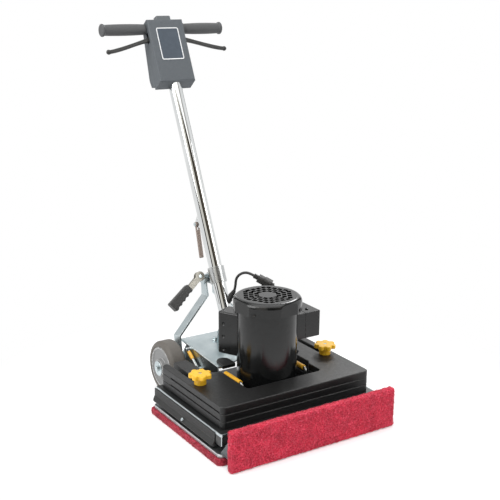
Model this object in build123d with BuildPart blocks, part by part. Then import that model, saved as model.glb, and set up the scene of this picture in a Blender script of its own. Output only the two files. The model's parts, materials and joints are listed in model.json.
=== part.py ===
from build123d import *
from math import acos, atan2, cos, degrees, hypot, radians, sin, tan
import os

# Orbital floor buffer, in millimetres. +Z is up and the origin is on the floor under the motor's
# axis. The upright strip pad is at the front, which faces -Y, and the handle leans back towards +Y.

os.makedirs("parts", exist_ok=True)

# Fits, as radial clearances
running = 0.05          # a pin or shaft that turns or slides
seated = 0.02           # a piece pushed on and fixed
axial = 0.4             # end play beside a turning piece

# Pads and driver
orbit = 3.0             # throw of the eccentric, to the left at rest
pad_width = 508.0
pad_depth = 356.0
pad_centre = -5.0       # middle of the pads from the motor's axis
pad_thick = 17.0
pad_corner = 12.0
driver_margin = 3.0     # pad showing round the driver plate
driver_thick = 10.0
driver_bore_floor = 3.0
boss_wall = 13.0
boss_height = 20.0
strip_thick = 20.0
strip_bottom = 1.0
strip_top = 104.0
strip_half = 251.0
bracket_sheet = 3.0
bracket_half = 244.0
bracket_bottom = 8.0
bracket_top = 98.0
gusset_low = 12.0       # side gusset above the foot at its rear end
gusset_drop = 18.0      # side gusset below the top edge
bracket_reach = 215.0   # front face of the upright sheet ahead of the motor axis
bracket_foot = 172.0    # rear edge of the foot ahead of the motor axis

# Driver bearing and eccentric
driver_bearing_r = 31.0
driver_bearing_height = 16.0
bearing_step = 9.0      # bearing seat above the bore's floor
journal_r = 15.0
hub_r = 30.0
hub_height = 17.0
weight_r = 52.0
weight_height = 15.0
weight_cut = 12.0       # straight edge of the counterweight, from the shaft

# Isolators and pan
isolator_r = 19.0
isolator_height = 42.0
isolator_x = 200.0
isolator_y = 130.0
pan_width = 486.0
pan_front = -169.0
pan_rear = 175.0
pan_sheet = 5.0
pan_skirt = 27.0
pan_corner = 6.0
pan_hole_r = 40.0
bumper_depth = 10.0
bumper_lip = 2.0        # thin upper part against the skirt
bumper_front = -141.0
bumper_rear = 177.0
bumper_low = 33.0
bumper_nose = 36.0      # level where the slope ends
bumper_slope = 48.0     # level where the slope starts
bumper_round = 8.0
bumper_screw_y = 14.0
bumper_screw_down = 6.0 # screw below the slope's upper edge

# Weight plates, studs and knobs
plate_thick = 19.7
plate_names = ("lower", "middle", "upper")
plate_width = 457.0
plate_front = -151.0
plate_rear = 170.0
plate_corner = 14.0
plate_edge = 1.6
rebate_high = 4.0       # finger rebate under the plates' side edges
rebate_deep = 6.0
rebate_rear = 115.0
cut_round = 10.0
cut_gap = 2.0           # cut-out's front edge ahead of the motor frame
cut_left = 16.0         # cut-out's sides, outwards from the motor flange
cut_right = 23.0
cut_bulge = 32.0
cut_mouth = 53.0
stud_r = 5.0
stud_x = 199.5
stud_y = 7.8
stud_recess = 1.0       # stud's end below the knob's top
slot_half = 6.8
knob_gap = 0.4
stem_r = 16.0
stem_height = 18.6
head_r = 30.3
head_height = 11.0
lobe_count = 7
lobe_r = 8.0

# Motor
flange_thick = 14.0
frame_r = 80.0
flange_margin = 16.0
frame_wall = 5.5
frame_height = 217.0
shaft_r = 14.0
bearing_r = 26.0
bearing_height = 14.0
core_r = 42.0
core_height = 130.0
stator_inner_r = 43.0
spigot = 5.0
bell_rim = 14.0
cover_margin = 11.0     # fan cover outside the frame
cover_fit = 2.3         # fan cover's bore outside the frame
cover_height = 36.6
cover_top_wall = 1.5
cover_round = 15.0
cover_facet = 4.6       # depth of the four side flats
cover_turn = 7.0        # degrees the flats are turned
cover_screw_turn = 34.0 # degrees to the first side screw
grille_pitch_u = 14.2
grille_pitch_v = 16.4
grille_u = 12.0
grille_v = 13.0
grille_first = 28.8
fan_r = 64.0
fan_blades = 9
screw_r = 5.5
screw_head = 3.5

# Capacitor cover and conduit box on the motor's sides
cap_azimuth = 119.0
cap_out_by = 56.0       # outer face from the motor frame
cap_half = 28.0
cap_bottom = 163.0
cap_height = 118.0
cap_wall = 2.0
cap_corner = 9.0
cap_edge = 5.0
dimple_r = 5.0
dimple_taper = 60.0     # degrees the dimple's wall leans in
dimple_deep = 1.5
dimple_in = 19.0        # dimples in from the outer face
dimple_first = 14.0
dimple_pitch = 35.5
box_out = 27.0          # joint of box and lid from the motor frame
lid_depth = 48.0
lid_edge = 3.0
lid_screw = 20.0        # screw from the joint
box_front = -25.0
box_rear = 57.0
box_bottom = 207.0
box_height = 72.0
box_wall = 3.0

# Rear deck, axle and wheels
deck_sheet = 4.0
deck_half = 112.0
deck_front_y = 61.0
deck_rise = 2.8         # daylight between the deck's front edge and the plates
deck_length = 214.0
deck_corner = 5.0
deck_slope = 3.26
deck_notch = 12.0       # gap round the motor frame
cheek_front = 68.0
ear_gap = 5.0           # pivot ears beside the tube
ear_sheet = 5.0
ear_r = 15.0
pivot_r = 6.0
deck_bolt_x = 27.2
deck_bolt_along = 163.0
deck_washer_r = 8.5
puck_half = 19.5
puck_depth = 44.0
puck_height = 4.0
puck_lip = 4.0          # hooked over the deck's front edge
puck_front = 10.0
puck_inset = 10.0       # pucks' middle in from the notch's rim
axle_y = 264.0
axle_z = 82.0
axle_r = 8.0
wheel_r = 75.0
wheel_inner = 131.0
wheel_outer = 187.1     # hub's outer face
tyre_outer = 181.5
tread_half = 12.0
tyre_side_r = 61.5
rim_r = 59.0
end_plate_r = 21.0
end_plate = 2.0
spacer_r = 12.0

# Tie rods and lift bars
rod_r = 4.0
sleeve_r = 7.0
tie_sleeve_r = 5.2
tie_bare = 36.0         # bare end of a tie rod below its sleeve
rod_x = 120.0
rod_eye_r = 6.5
rod_eye_half = 4.5
rod_low_y = 158.0
rod_low_rise = 27.5     # lower eye above the pan
rod_high_y = 216.0
rod_drop = 8.5          # upper eye below the deck
lug_sheet = 6.0
lift_gap = 5.0          # lift bar outside the motor flange
lift_front = -39.0
lift_rear = 54.0
lift_drop = 7.1         # lift bar below the plates' top
lift_bend = 9.0
lift_bare = 0.5         # bare bar between a bend and its sleeve

# Handle
lean = 25.0
tilt_y = 189.0
pivot_rise = 34.809     # tilt pivot above the deck
tube_r = 19.0
tube_wall = 2.0
tube_foot = -10.0
bar_s = 895.6
bar_r = 11.0
bar_half = 190.0
grip_start = 59.0
grip_end = 194.5
grip_r = 16.4
grip_flange_r = 18.0
grip_collar = 8.0       # plain collar at the inner end of the right grip
grip_ring = 2.5
grip_ring_r = 14.0
housing_half = 57.5
housing_wall = 3.0
housing_round = 5.0

# Control housing, with levels along the tube from the handlebar's axis
front_n = -26.0         # front face ahead of the tube's axis
front_high = 21.9
front_low = -165.6
seam_n_high = 12.0
seam_high = 12.4
seam_n_low = 15.0
seam_low = -176.6
hip_n = 40.0
hip_level = -150.6
rear_n = 37.0
rear_level = -164.6
label_width = 72.0
label_low = -102.6
label_high = -5.6
label_thick = 1.0
switch_x = 37.0
switch_level = -106.6
button_half = 23.0
button_n = -11.0
button_depth = 22.0
button_low = 14.0
button_high = 33.4
button_gap = 0.35
button_corner = 4.0
trigger_x = 42.0
trigger_level = -32.6
trigger_n = -8.0
trigger_thick = 10.0
trigger_end = 188.0
trigger_fall = 35.0     # trigger's tip below its pin
trigger_slot = 32.0
trigger_slot_up = 3.0
trigger_ball = 7.0
trigger_pin_r = 3.0
inlet_gap = 9.5         # mains inlet behind the tube
inlet_flange_r = 6.5
inlet_r = 5.0

# Cord gland and hook on the tube
gland_s = 71.0
gland_turn = 58.0       # degrees from the tube's right side towards its front
gland_rise = 38.0       # degrees the gland points up the tube
gland_out_by = 16.0     # outlet from the tube's surface
hook_s = 321.0
hook_gap = 32.0         # hook's pin behind the tube's surface
hook_out = 10.0         # degrees the hook stands out from the tube
hook_pin_r = 3.0
hook_half = 6.0
hook_thick = 6.0
hook_length = 95.0
hook_tab = 4.0
hook_hole_r = 2.2
hook_slot_r = 17.0

# Collar, cam lever and yoke
collar_wall = 4.5
collar_low = 138.0
collar_high = 184.0
collar_ear_inner = 6.0
collar_ear_sheet = 5.0
yoke_s = 161.0
yoke_gap = 31.0         # pin behind the tube's surface
yoke_pin_r = 4.5
yoke_play = 5.0         # clearance round the pin in the leg's upper eye
yoke_low_x = 119.0
yoke_high_x = 18.0
yoke_bend_low = 81.0
yoke_bend_high = 182.0
yoke_half = 17.5
yoke_end_r = 12.5
yoke_sheet = 5.0
lever_x = -42.0
lever_gap_n = 10.0      # lever's plane behind the tube's surface
lever_s = 168.0
lever_bolt_r = 3.8
lever_spacer = 0.8      # wall of the spacer round the lever's bolt
lever_pin_r = 5.0
lever_half = 7.0
lever_slot = 4.6        # half the gap between the clevis cheeks
lever_slot_r = 23.0
lever_end_r = 14.0
lever_arm_half = 8.5
lever_drop = 36.5       # degrees the lever falls below square to the tube
lever_reach = 127.2
lever_grip_length = 80.4
lever_grip_start = 12.0
lever_grip_half = 15.5
lever_grip_thick = 9.5
lever_grip_shift = -2.8
lever_tang = 66.0
lever_tang_half = 8.0
lever_tang_thick = 3.3
finger_count = 4
finger_first = 62.0
finger_pitch = 16.5
finger_r = 9.5
finger_deep = 2.6

# Motor cord
cord_r = 3.7
cord_lead_out = 17.0    # straight run out of the gland
cord_points = (
    (19.4, 190.4, 310.6),
    (17.4, 184.4, 333.3),
    (23.1, 177.1, 346.1),
    (33.2, 168.4, 353.0),
    (44.3, 158.7, 352.4),
    (53.4, 149.3, 346.1),
)
plug_relief = 14.0
plug_length = 18.0
socket_length = 30.0
lead_out = 18.4         # straight run out of the socket
lead_bend = (124.6, 94.1, 284.8)
lead_in = (127.2, 268.9)
lead_in_run = 19.4

# Sizes that follow from the tube and the motor frame
collar_r = tube_r + collar_wall
hook_n = tube_r + hook_gap
yoke_n = tube_r + yoke_gap
lever_n = tube_r + lever_gap_n
gland_reach = tube_r + gland_out_by
inlet_n = tube_r + inlet_gap
ear_inner = tube_r + ear_gap
flange_r = frame_r + flange_margin
cover_r = frame_r + cover_margin
cover_inner_r = frame_r + cover_fit
cover_flat = cover_r - cover_facet
cap_reach = frame_r + cap_out_by
case_start = frame_r - 20.0
box_split = frame_r + box_out
box_reach = box_split + lid_depth
deck_notch_r = frame_r + deck_notch
puck_x = deck_notch_r - puck_inset
cut_front = -frame_r - cut_gap
flange_front = cut_front + 1.0
lift_x = flange_r + lift_gap

# Levels up the machine
driver_bottom = pad_thick
driver_top = driver_bottom + driver_thick
pan_under = driver_top + isolator_height
pan_top = pan_under + pan_sheet
plates_top = pan_top + plate_thick * len(plate_names)
knob_bottom = plates_top + knob_gap
stud_top = knob_bottom + stem_height + head_height - stud_recess
lift_z = plates_top - lift_drop
deck_front_z = plates_top + deck_sheet + deck_rise
deck_tan = tan(radians(deck_slope))
tilt_z = deck_front_z + (tilt_y - deck_front_y) * deck_tan + pivot_rise
rod_low = (rod_low_y, pan_top + rod_low_rise)
rod_high = (rod_high_y, deck_front_z + (rod_high_y - deck_front_y) * deck_tan - rod_drop)
cheek_rear = pan_rear + 1.0
flange_top = pan_top + flange_thick
frame_top = flange_top + frame_height
cover_top = frame_top + cover_height
cover_inside = cover_top - cover_top_wall
driver_bearing_z = driver_bottom + driver_bore_floor + bearing_step
hub_top = pan_under - 2.0
hub_bottom = hub_top - hub_height
shaft_bottom = hub_bottom + 2.0
shaft_top = cover_inside - 5.0

# Levels along the tube
trigger_s = bar_s + trigger_level
trigger_tip = (trigger_end, trigger_s - trigger_fall)
housing_bottom = bar_s + seam_low
rear_bottom = bar_s + rear_level

# Working planes
up = (0, sin(radians(lean)), cos(radians(lean)))
back = (0, cos(radians(lean)), -sin(radians(lean)))
pivot = (0, tilt_y, tilt_z)
tube_cross = Plane(origin=pivot, x_dir=(1, 0, 0), z_dir=up)
tube_side = Plane(origin=pivot, x_dir=back, z_dir=(1, 0, 0))
tube_face = Plane(origin=pivot, x_dir=(1, 0, 0), z_dir=(0, -back[1], -back[2]))
driver_axis = Plane(origin=(-orbit, 0, 0))
pad_plane = Plane(origin=(-orbit, pad_centre, 0))
deck_plane = Plane(
    origin=(0, deck_front_y, deck_front_z),
    x_dir=(1, 0, 0),
    z_dir=(0, -sin(radians(deck_slope)), cos(radians(deck_slope))),
)


def on_tube(x, n, s):
    """A point given across the tube, behind it and along it from the tilt pivot."""
    return (x, tilt_y + n * back[1] + s * up[1], tilt_z + n * back[2] + s * up[2])


def save(piece, name):
    """Label a finished piece and write its own file."""
    piece.part.label = name
    export_step(piece.part, f"parts/{name}.step")


def bent_sheet(points, thickness):
    """Outline of a sheet of even thickness folded along the given centre line."""
    left, right = [], []
    for i, (x, y) in enumerate(points):
        before = points[max(i - 1, 0)]
        after = points[min(i + 1, len(points) - 1)]
        a = atan2(y - before[1], x - before[0]) if i else atan2(after[1] - y, after[0] - x)
        b = atan2(after[1] - y, after[0] - x) if i < len(points) - 1 else a
        reach = thickness / 2 / cos((b - a) / 2)
        mid = (a + b) / 2
        left.append((x - reach * sin(mid), y + reach * cos(mid)))
        right.append((x + reach * sin(mid), y - reach * cos(mid)))
    return left + right[::-1]


def bend_radii(points):
    """Bend radius at each inner point of a cord, from the runs beside it and its turn."""
    radii = []
    for a, b, c in zip(points, points[1:], points[2:]):
        first = Vector(*b) - Vector(*a)
        second = Vector(*c) - Vector(*b)
        turn = acos(first.normalized().dot(second.normalized()))
        radii.append(0.45 * min(first.length, second.length) / tan(turn / 2))
    return radii


yoke_pin = on_tube(0, yoke_n, yoke_s)
yoke_rise = hypot(yoke_pin[1] - axle_y, yoke_pin[2] - axle_z)
yoke_up = (0, (yoke_pin[1] - axle_y) / yoke_rise, (yoke_pin[2] - axle_z) / yoke_rise)
yoke_side = Plane(origin=(0, axle_y, axle_z), x_dir=(0, yoke_up[2], -yoke_up[1]), z_dir=(1, 0, 0))
yoke_face = Plane(origin=(0, axle_y, axle_z), x_dir=(1, 0, 0), z_dir=(0, -yoke_up[2], yoke_up[1]))
wheel_plane = Plane(origin=(0, axle_y, axle_z), x_dir=(1, 0, 0), z_dir=(0, -1, 0))
axle_axis = Axis((0, axle_y, axle_z), (1, 0, 0))
bar_axis = Axis(on_tube(0, 0, bar_s), (1, 0, 0))

# The orbiting driver with its two pads

with BuildPart() as floor_pad:
    with BuildSketch(pad_plane):
        RectangleRounded(pad_width, pad_depth, pad_corner)
    extrude(amount=pad_thick)
save(floor_pad, "floor_pad")

with BuildPart() as driver_plate:
    with BuildSketch(pad_plane.offset(driver_bottom)):
        RectangleRounded(pad_width - 2 * driver_margin, pad_depth - 2 * driver_margin, pad_corner)
    extrude(amount=driver_thick)
    with BuildSketch(driver_axis.offset(driver_top)):
        Circle(driver_bearing_r + boss_wall)
    extrude(amount=boss_height)
    with BuildSketch(driver_axis.offset(driver_bearing_z)):
        Circle(driver_bearing_r + seated)
    extrude(amount=boss_height + driver_thick, mode=Mode.SUBTRACT)
save(driver_plate, "driver_plate")

with BuildPart() as driver_bearing:
    with BuildSketch(driver_axis.offset(driver_bearing_z)):
        Circle(driver_bearing_r)
        Circle(journal_r + running, mode=Mode.SUBTRACT)
    extrude(amount=driver_bearing_height)
save(driver_bearing, "driver_bearing")

bracket_line = (
    (-bracket_foot, driver_top + bracket_sheet / 2),
    (-bracket_reach + bracket_sheet / 2, driver_top + bracket_sheet / 2),
    (-bracket_reach + bracket_sheet / 2, bracket_top),
)
with BuildPart() as front_bracket:
    with BuildSketch(Plane.YZ.offset(-orbit)):
        with BuildLine():
            Polyline(*bent_sheet(bracket_line, bracket_sheet), close=True)
        make_face()
        with Locations((-bracket_reach + bracket_sheet / 2, (bracket_bottom + driver_top + 1) / 2)):
            Rectangle(bracket_sheet, driver_top + 1 - bracket_bottom)
    extrude(amount=bracket_half, both=True)
    for side in (-1, 1):
        with BuildSketch(Plane.YZ.offset(side * bracket_half - orbit)):
            with BuildLine():
                Polyline(
                    (-bracket_foot, driver_top + 1),
                    (-bracket_reach + 1, driver_top + 1),
                    (-bracket_reach + 1, bracket_top - gusset_drop),
                    (-bracket_foot - 8, driver_top + gusset_low),
                    close=True,
                )
            make_face()
        extrude(amount=-side * bracket_sheet)
save(front_bracket, "front_bracket")

with BuildPart() as strip_pad:
    with BuildSketch(Plane.YZ.offset(-orbit)):
        with Locations((-bracket_reach - strip_thick / 2, (strip_bottom + strip_top) / 2)):
            RectangleRounded(strip_thick, strip_top - strip_bottom, 2.5)
    extrude(amount=strip_half, both=True)
save(strip_pad, "strip_pad")

# Rubber isolators, pan and bumpers

with BuildPart() as isolators:
    with BuildSketch(Plane.XY.offset(driver_top)):
        with GridLocations(2 * isolator_x, 2 * isolator_y, 2, 2):
            Circle(isolator_r)
    extrude(amount=isolator_height)
save(isolators, "isolators")

pan_plane = Plane(origin=(0, (pan_front + pan_rear) / 2, 0))
pan_depth = pan_rear - pan_front
with BuildPart() as base_pan:
    with BuildSketch(pan_plane.offset(pan_under)):
        RectangleRounded(pan_width, pan_depth, pan_corner)
    extrude(amount=pan_sheet)
    with BuildSketch(pan_plane.offset(pan_under - pan_skirt)):
        RectangleRounded(pan_width, pan_depth, pan_corner)
        RectangleRounded(
            pan_width - 2 * pan_sheet, pan_depth - 2 * pan_sheet, pan_corner - pan_sheet, mode=Mode.SUBTRACT
        )
        with Locations((0, -pan_depth / 2)):
            Rectangle(pan_width - 2 * pan_sheet, 4 * pan_sheet, mode=Mode.SUBTRACT)
    extrude(amount=pan_skirt)
    for side in (-1, 1):
        with BuildSketch(Plane.YZ.offset(side * (rod_x + rod_eye_half))):
            with Locations((rod_low[0], (pan_top - 1 + rod_low[1]) / 2)):
                Rectangle(24, rod_low[1] - pan_top + 1)
            with Locations(rod_low):
                Circle(12)
                Circle(rod_r + seated, mode=Mode.SUBTRACT)
        extrude(amount=side * lug_sheet)
    with BuildSketch(Plane.XY.offset(pan_under)):
        Circle(pan_hole_r)
    extrude(amount=pan_sheet, mode=Mode.SUBTRACT)
save(base_pan, "base_pan")

bumper_length = bumper_rear - bumper_front
with BuildPart() as side_bumpers:
    for side in (-1, 1):
        inner = side * pan_width / 2
        outer = inner + side * bumper_depth
        lip = inner + side * bumper_lip
        with BuildSketch(Plane(origin=(0, bumper_front, 0), x_dir=(1, 0, 0), z_dir=(0, -1, 0))):
            Polygon(
                (inner, bumper_low),
                (outer - 2 * side, bumper_low),
                (outer, bumper_low + 2),
                (outer, bumper_nose),
                (lip, bumper_slope),
                (lip, pan_under),
                (inner, pan_under),
                align=None,
            )
        extrude(amount=-bumper_length)
    with BuildSketch(Plane.XY.offset(bumper_low)):
        for side in (-1, 1):
            with Locations((side * pan_width / 2, (bumper_front + bumper_rear) / 2)):
                RectangleRounded(2 * bumper_depth, bumper_length, bumper_round)
    extrude(amount=pan_under - bumper_low, mode=Mode.INTERSECT)
save(side_bumpers, "side_bumpers")

# The three weight plates

for level, name in enumerate(plate_names):
    floor = pan_top + level * plate_thick
    with BuildPart() as weight_plate:
        with BuildSketch(Plane.XY.offset(floor)):
            with Locations((0, (plate_front + plate_rear) / 2)):
                RectangleRounded(plate_width, plate_rear - plate_front, plate_corner)
        extrude(amount=plate_thick)
        with BuildSketch(Plane.XY.offset(floor)) as opening:
            Polygon(
                (-flange_r - cut_left, cut_front),
                (flange_r + cut_right, cut_front),
                (flange_r + cut_right, cut_front + 56),
                (flange_r + cut_bulge, cut_front + 68),
                (flange_r + cut_bulge, 42),
                (flange_r + cut_mouth, 62),
                (flange_r + cut_mouth, plate_rear + 20),
                (-flange_r - cut_mouth, plate_rear + 20),
                (-flange_r - cut_mouth, 66),
                (-flange_r - cut_left, 46),
                align=None,
            )
            fillet(opening.vertices(), radius=cut_round)
        extrude(amount=plate_thick, mode=Mode.SUBTRACT)
        with BuildSketch(Plane.XY.offset(floor)):
            for side in (-1, 1):
                with Locations((side * stud_x, stud_y)):
                    Circle(slot_half)
                with Locations((side * stud_x, (stud_y + plate_rear + 5) / 2)):
                    Rectangle(2 * slot_half, plate_rear + 5 - stud_y)
        extrude(amount=plate_thick, mode=Mode.SUBTRACT)
        rear_ends = weight_plate.edges().filter_by(Axis.Z).group_by(Axis.Y)[-1]
        fillet(rear_ends, radius=7)
        rims = weight_plate.faces().filter_by(Axis.Z)
        chamfer(rims.edges(), length=plate_edge)
        rebate_front = plate_front + plate_corner
        with BuildSketch(Plane.XY.offset(floor)):
            for side in (-1, 1):
                with Locations((side * plate_width / 2, (rebate_front + rebate_rear) / 2)):
                    Rectangle(2 * rebate_deep, rebate_rear - rebate_front)
        extrude(amount=rebate_high, mode=Mode.SUBTRACT)
    save(weight_plate, f"weight_plate_{name}")

# Star knobs on their studs

for side, name in ((-1, "left_knob"), (1, "right_knob")):
    knob_plane = Plane(origin=(side * stud_x, stud_y, knob_bottom))
    with BuildPart() as knob:
        with BuildSketch(knob_plane):
            Circle(stem_r)
        extrude(amount=stem_height)
        with BuildSketch(knob_plane.offset(stem_height)) as star:
            Circle(head_r - lobe_r + 1.5)
            with PolarLocations(head_r - lobe_r, lobe_count):
                Circle(lobe_r)
        extrude(amount=head_height)
        fillet(knob.faces().sort_by(Axis.Z)[-1].edges(), radius=3)
        with BuildSketch(knob_plane):
            Circle(stud_r + running)
        extrude(amount=stem_height + head_height, mode=Mode.SUBTRACT)
    save(knob, name)

# Rotor, fan and eccentric

with BuildPart() as rotor:
    with BuildSketch(Plane.XY.offset(shaft_bottom)):
        Circle(shaft_r)
    extrude(amount=shaft_top - shaft_bottom)
    with BuildSketch(Plane.XY.offset((flange_top + frame_top - core_height) / 2)):
        Circle(core_r)
    extrude(amount=core_height)
save(rotor, "rotor")

fan_bottom = frame_top + bell_rim + 2.0
with BuildPart() as cooling_fan:
    with BuildSketch(Plane.XY.offset(fan_bottom)):
        Circle(fan_r)
    extrude(amount=2)
    with BuildSketch(Plane.XY.offset(fan_bottom)):
        Circle(shaft_r + 8)
        for i in range(fan_blades):
            turn = i * 360 / fan_blades
            with Locations((44 * cos(radians(turn)), 44 * sin(radians(turn)))):
                Rectangle(40, 2, rotation=turn)
    extrude(amount=13)
    with BuildSketch(Plane.XY.offset(fan_bottom)):
        Circle(shaft_r + seated)
    extrude(amount=20, mode=Mode.SUBTRACT)
save(cooling_fan, "cooling_fan")

with BuildPart() as eccentric:
    with BuildSketch(Plane.XY.offset(hub_bottom)):
        Circle(hub_r)
    extrude(amount=hub_height)
    with BuildSketch(Plane.XY.offset(hub_bottom)):
        Circle(weight_r)
        with Locations((weight_cut - weight_r, 0)):
            Rectangle(2 * weight_r, 2 * weight_r, mode=Mode.SUBTRACT)
    extrude(amount=weight_height)
    with BuildSketch(driver_axis.offset(driver_bearing_z + 1)):
        Circle(journal_r)
    extrude(amount=hub_bottom - driver_bearing_z)
    with BuildSketch(Plane.XY.offset(shaft_bottom)):
        Circle(shaft_r + seated)
    extrude(amount=hub_height, mode=Mode.SUBTRACT)
save(eccentric, "eccentric")

# Motor

with BuildPart() as motor_flange:
    with BuildSketch(Plane.XY.offset(pan_top)):
        Circle(flange_r)
        with Locations((0, flange_front - flange_r)):
            Rectangle(2 * flange_r, 2 * flange_r, mode=Mode.SUBTRACT)
    extrude(amount=flange_thick)
    chamfer(motor_flange.faces().sort_by(Axis.Z)[-1].edges(), length=2.5)
    with BuildSketch(Plane.XY.offset(flange_top)):
        Circle(frame_r - frame_wall - seated)
    extrude(amount=spigot)
    with BuildSketch(Plane.XY.offset(pan_top)):
        Circle(bearing_r + seated)
    extrude(amount=flange_thick + spigot, mode=Mode.SUBTRACT)
save(motor_flange, "motor_flange")

with BuildPart() as motor_frame:
    with BuildSketch(Plane.XY.offset(flange_top)):
        Circle(frame_r)
        Circle(frame_r - frame_wall, mode=Mode.SUBTRACT)
    extrude(amount=frame_height)
save(motor_frame, "motor_frame")

with BuildPart() as stator:
    with BuildSketch(Plane.XY.offset((flange_top + frame_top - core_height) / 2)):
        Circle(frame_r - frame_wall - seated)
        Circle(stator_inner_r, mode=Mode.SUBTRACT)
    extrude(amount=core_height)
save(stator, "stator")

with BuildPart() as top_bell:
    with BuildSketch(Plane.XY.offset(frame_top - spigot)):
        Circle(frame_r - frame_wall - seated)
    extrude(amount=spigot)
    with BuildSketch(Plane.XY.offset(frame_top)):
        Circle(cover_inner_r - seated)
    extrude(amount=bell_rim)
    with BuildSketch(Plane.XY.offset(frame_top - spigot)):
        Circle(bearing_r + seated)
    extrude(amount=bell_rim + spigot, mode=Mode.SUBTRACT)
save(top_bell, "top_bell")

with BuildPart() as motor_bearings:
    for height in (pan_top + 2, frame_top - spigot + 2):
        with BuildSketch(Plane.XY.offset(height)):
            Circle(bearing_r)
            Circle(shaft_r + running, mode=Mode.SUBTRACT)
        extrude(amount=bearing_height)
save(motor_bearings, "motor_bearings")

cover_screw_z = frame_top + 7.0
with BuildPart() as fan_cover:
    with BuildSketch(Plane.XY.offset(frame_top)):
        Circle(cover_r)
    extrude(amount=cover_height)
    fillet(fan_cover.faces().sort_by(Axis.Z)[-1].edges(), radius=cover_round)
    for i in range(4):
        turn = radians(cover_turn + 90 * i)
        out = (cos(turn), sin(turn), 0)
        facet = Plane(
            origin=(cover_flat * out[0], cover_flat * out[1], frame_top),
            x_dir=(-out[1], out[0], 0),
            z_dir=out,
        )
        with BuildSketch(facet):
            Rectangle(2 * cover_r, 4 * cover_height)
        extrude(amount=10, mode=Mode.SUBTRACT)
        diagonal = radians(cover_screw_turn + 90 * i)
        out = (cos(diagonal), sin(diagonal), 0)
        with BuildSketch(
            Plane(
                origin=((cover_r - 0.8) * out[0], (cover_r - 0.8) * out[1], cover_screw_z),
                x_dir=(-out[1], out[0], 0),
                z_dir=out,
            )
        ):
            Circle(screw_r + 1)
        extrude(amount=10, mode=Mode.SUBTRACT)
    with BuildSketch(Plane.XY.offset(frame_top)):
        Circle(cover_inner_r)
    extrude(amount=cover_height - cover_round, mode=Mode.SUBTRACT)
    with BuildSketch(Plane.XY.offset(frame_top)):
        Circle(cover_inner_r - 10)
    extrude(amount=cover_height - cover_top_wall, mode=Mode.SUBTRACT)
    with BuildSketch(Plane.XY.offset(cover_inside)):
        for sector in range(6):
            bisector = radians(30 + 60 * sector)
            for row, holes in enumerate((2, 3, 4)):
                u = grille_first + row * grille_pitch_u
                for k in range(holes):
                    v = (k - (holes - 1) / 2) * grille_pitch_v
                    with Locations(
                        (
                            u * cos(bisector) - v * sin(bisector),
                            u * sin(bisector) + v * cos(bisector),
                        )
                    ):
                        RectangleRounded(grille_u, grille_v, 1.2, rotation=30 + 60 * sector)
    extrude(amount=cover_top_wall, mode=Mode.SUBTRACT)
save(fan_cover, "fan_cover")

cap_out = (cos(radians(cap_azimuth)), sin(radians(cap_azimuth)), 0)
cap_side = (-cap_out[1], cap_out[0], 0)
cap_plane = Plane(origin=(0, 0, cap_bottom), x_dir=cap_out, z_dir=(0, 0, 1))
with BuildPart() as capacitor_cover:
    with BuildSketch(cap_plane):
        with Locations(((cap_reach + case_start) / 2, 0)):
            Rectangle(cap_reach - case_start, 2 * cap_half)
    extrude(amount=cap_height)
    fillet(capacitor_cover.edges().filter_by(Axis.Z), radius=cap_corner)
    fillet(capacitor_cover.faces().filter_by(Axis.Z).edges(), radius=cap_edge)
    with BuildSketch(cap_plane.offset(cap_wall)):
        with Locations(((cap_reach + case_start) / 2 - cap_wall, 0)):
            RectangleRounded(cap_reach - case_start, 2 * (cap_half - cap_wall), cap_corner - cap_wall)
    extrude(amount=cap_height - 2 * cap_wall, mode=Mode.SUBTRACT)
    for i in range(3):
        dimple_out = cap_reach - dimple_in
        dimple_at = (
            dimple_out * cap_out[0] + cap_half * cap_side[0],
            dimple_out * cap_out[1] + cap_half * cap_side[1],
            cap_bottom + dimple_first + i * dimple_pitch,
        )
        with BuildSketch(Plane(origin=dimple_at, x_dir=(0, 0, 1), z_dir=(cap_out[1], -cap_out[0], 0))):
            Circle(dimple_r)
        extrude(amount=dimple_deep, taper=dimple_taper, mode=Mode.SUBTRACT)
    with BuildSketch(cap_plane.offset(-5)):
        Circle(frame_r + seated)
    extrude(amount=cap_height + 10, mode=Mode.SUBTRACT)
save(capacitor_cover, "capacitor_cover")

box_plane = Plane(origin=(0, (box_front + box_rear) / 2, box_bottom))
box_depth = box_rear - box_front
with BuildPart() as conduit_box:
    with BuildSketch(box_plane):
        with Locations(((case_start + box_split) / 2, 0)):
            Rectangle(box_split - case_start, box_depth)
    extrude(amount=box_height)
    with BuildSketch(box_plane.offset(box_wall)):
        with Locations((box_split, 0)):
            Rectangle(box_out - 4, box_depth - 2 * box_wall)
    extrude(amount=box_height - 2 * box_wall, mode=Mode.SUBTRACT)
    with BuildSketch(Plane.XY.offset(box_bottom)):
        Circle(frame_r + seated)
    extrude(amount=box_height, mode=Mode.SUBTRACT)
save(conduit_box, "conduit_box")

with BuildPart() as conduit_lid:
    with BuildSketch(box_plane):
        with Locations(((box_split + box_reach) / 2, 0)):
            Rectangle(box_reach - box_split, box_depth)
    extrude(amount=box_height)
    fillet(conduit_lid.faces().sort_by(Axis.X)[-1].edges(), radius=lid_edge)
    chamfer(conduit_lid.faces().sort_by(Axis.X)[0].edges(), length=1)
    with BuildSketch(box_plane.offset(box_wall)):
        with Locations(((box_split + box_reach) / 2 - box_wall, 0)):
            Rectangle(box_reach - box_split, box_depth - 2 * box_wall)
    extrude(amount=box_height - 2 * box_wall, mode=Mode.SUBTRACT)
save(conduit_lid, "conduit_lid")

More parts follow.
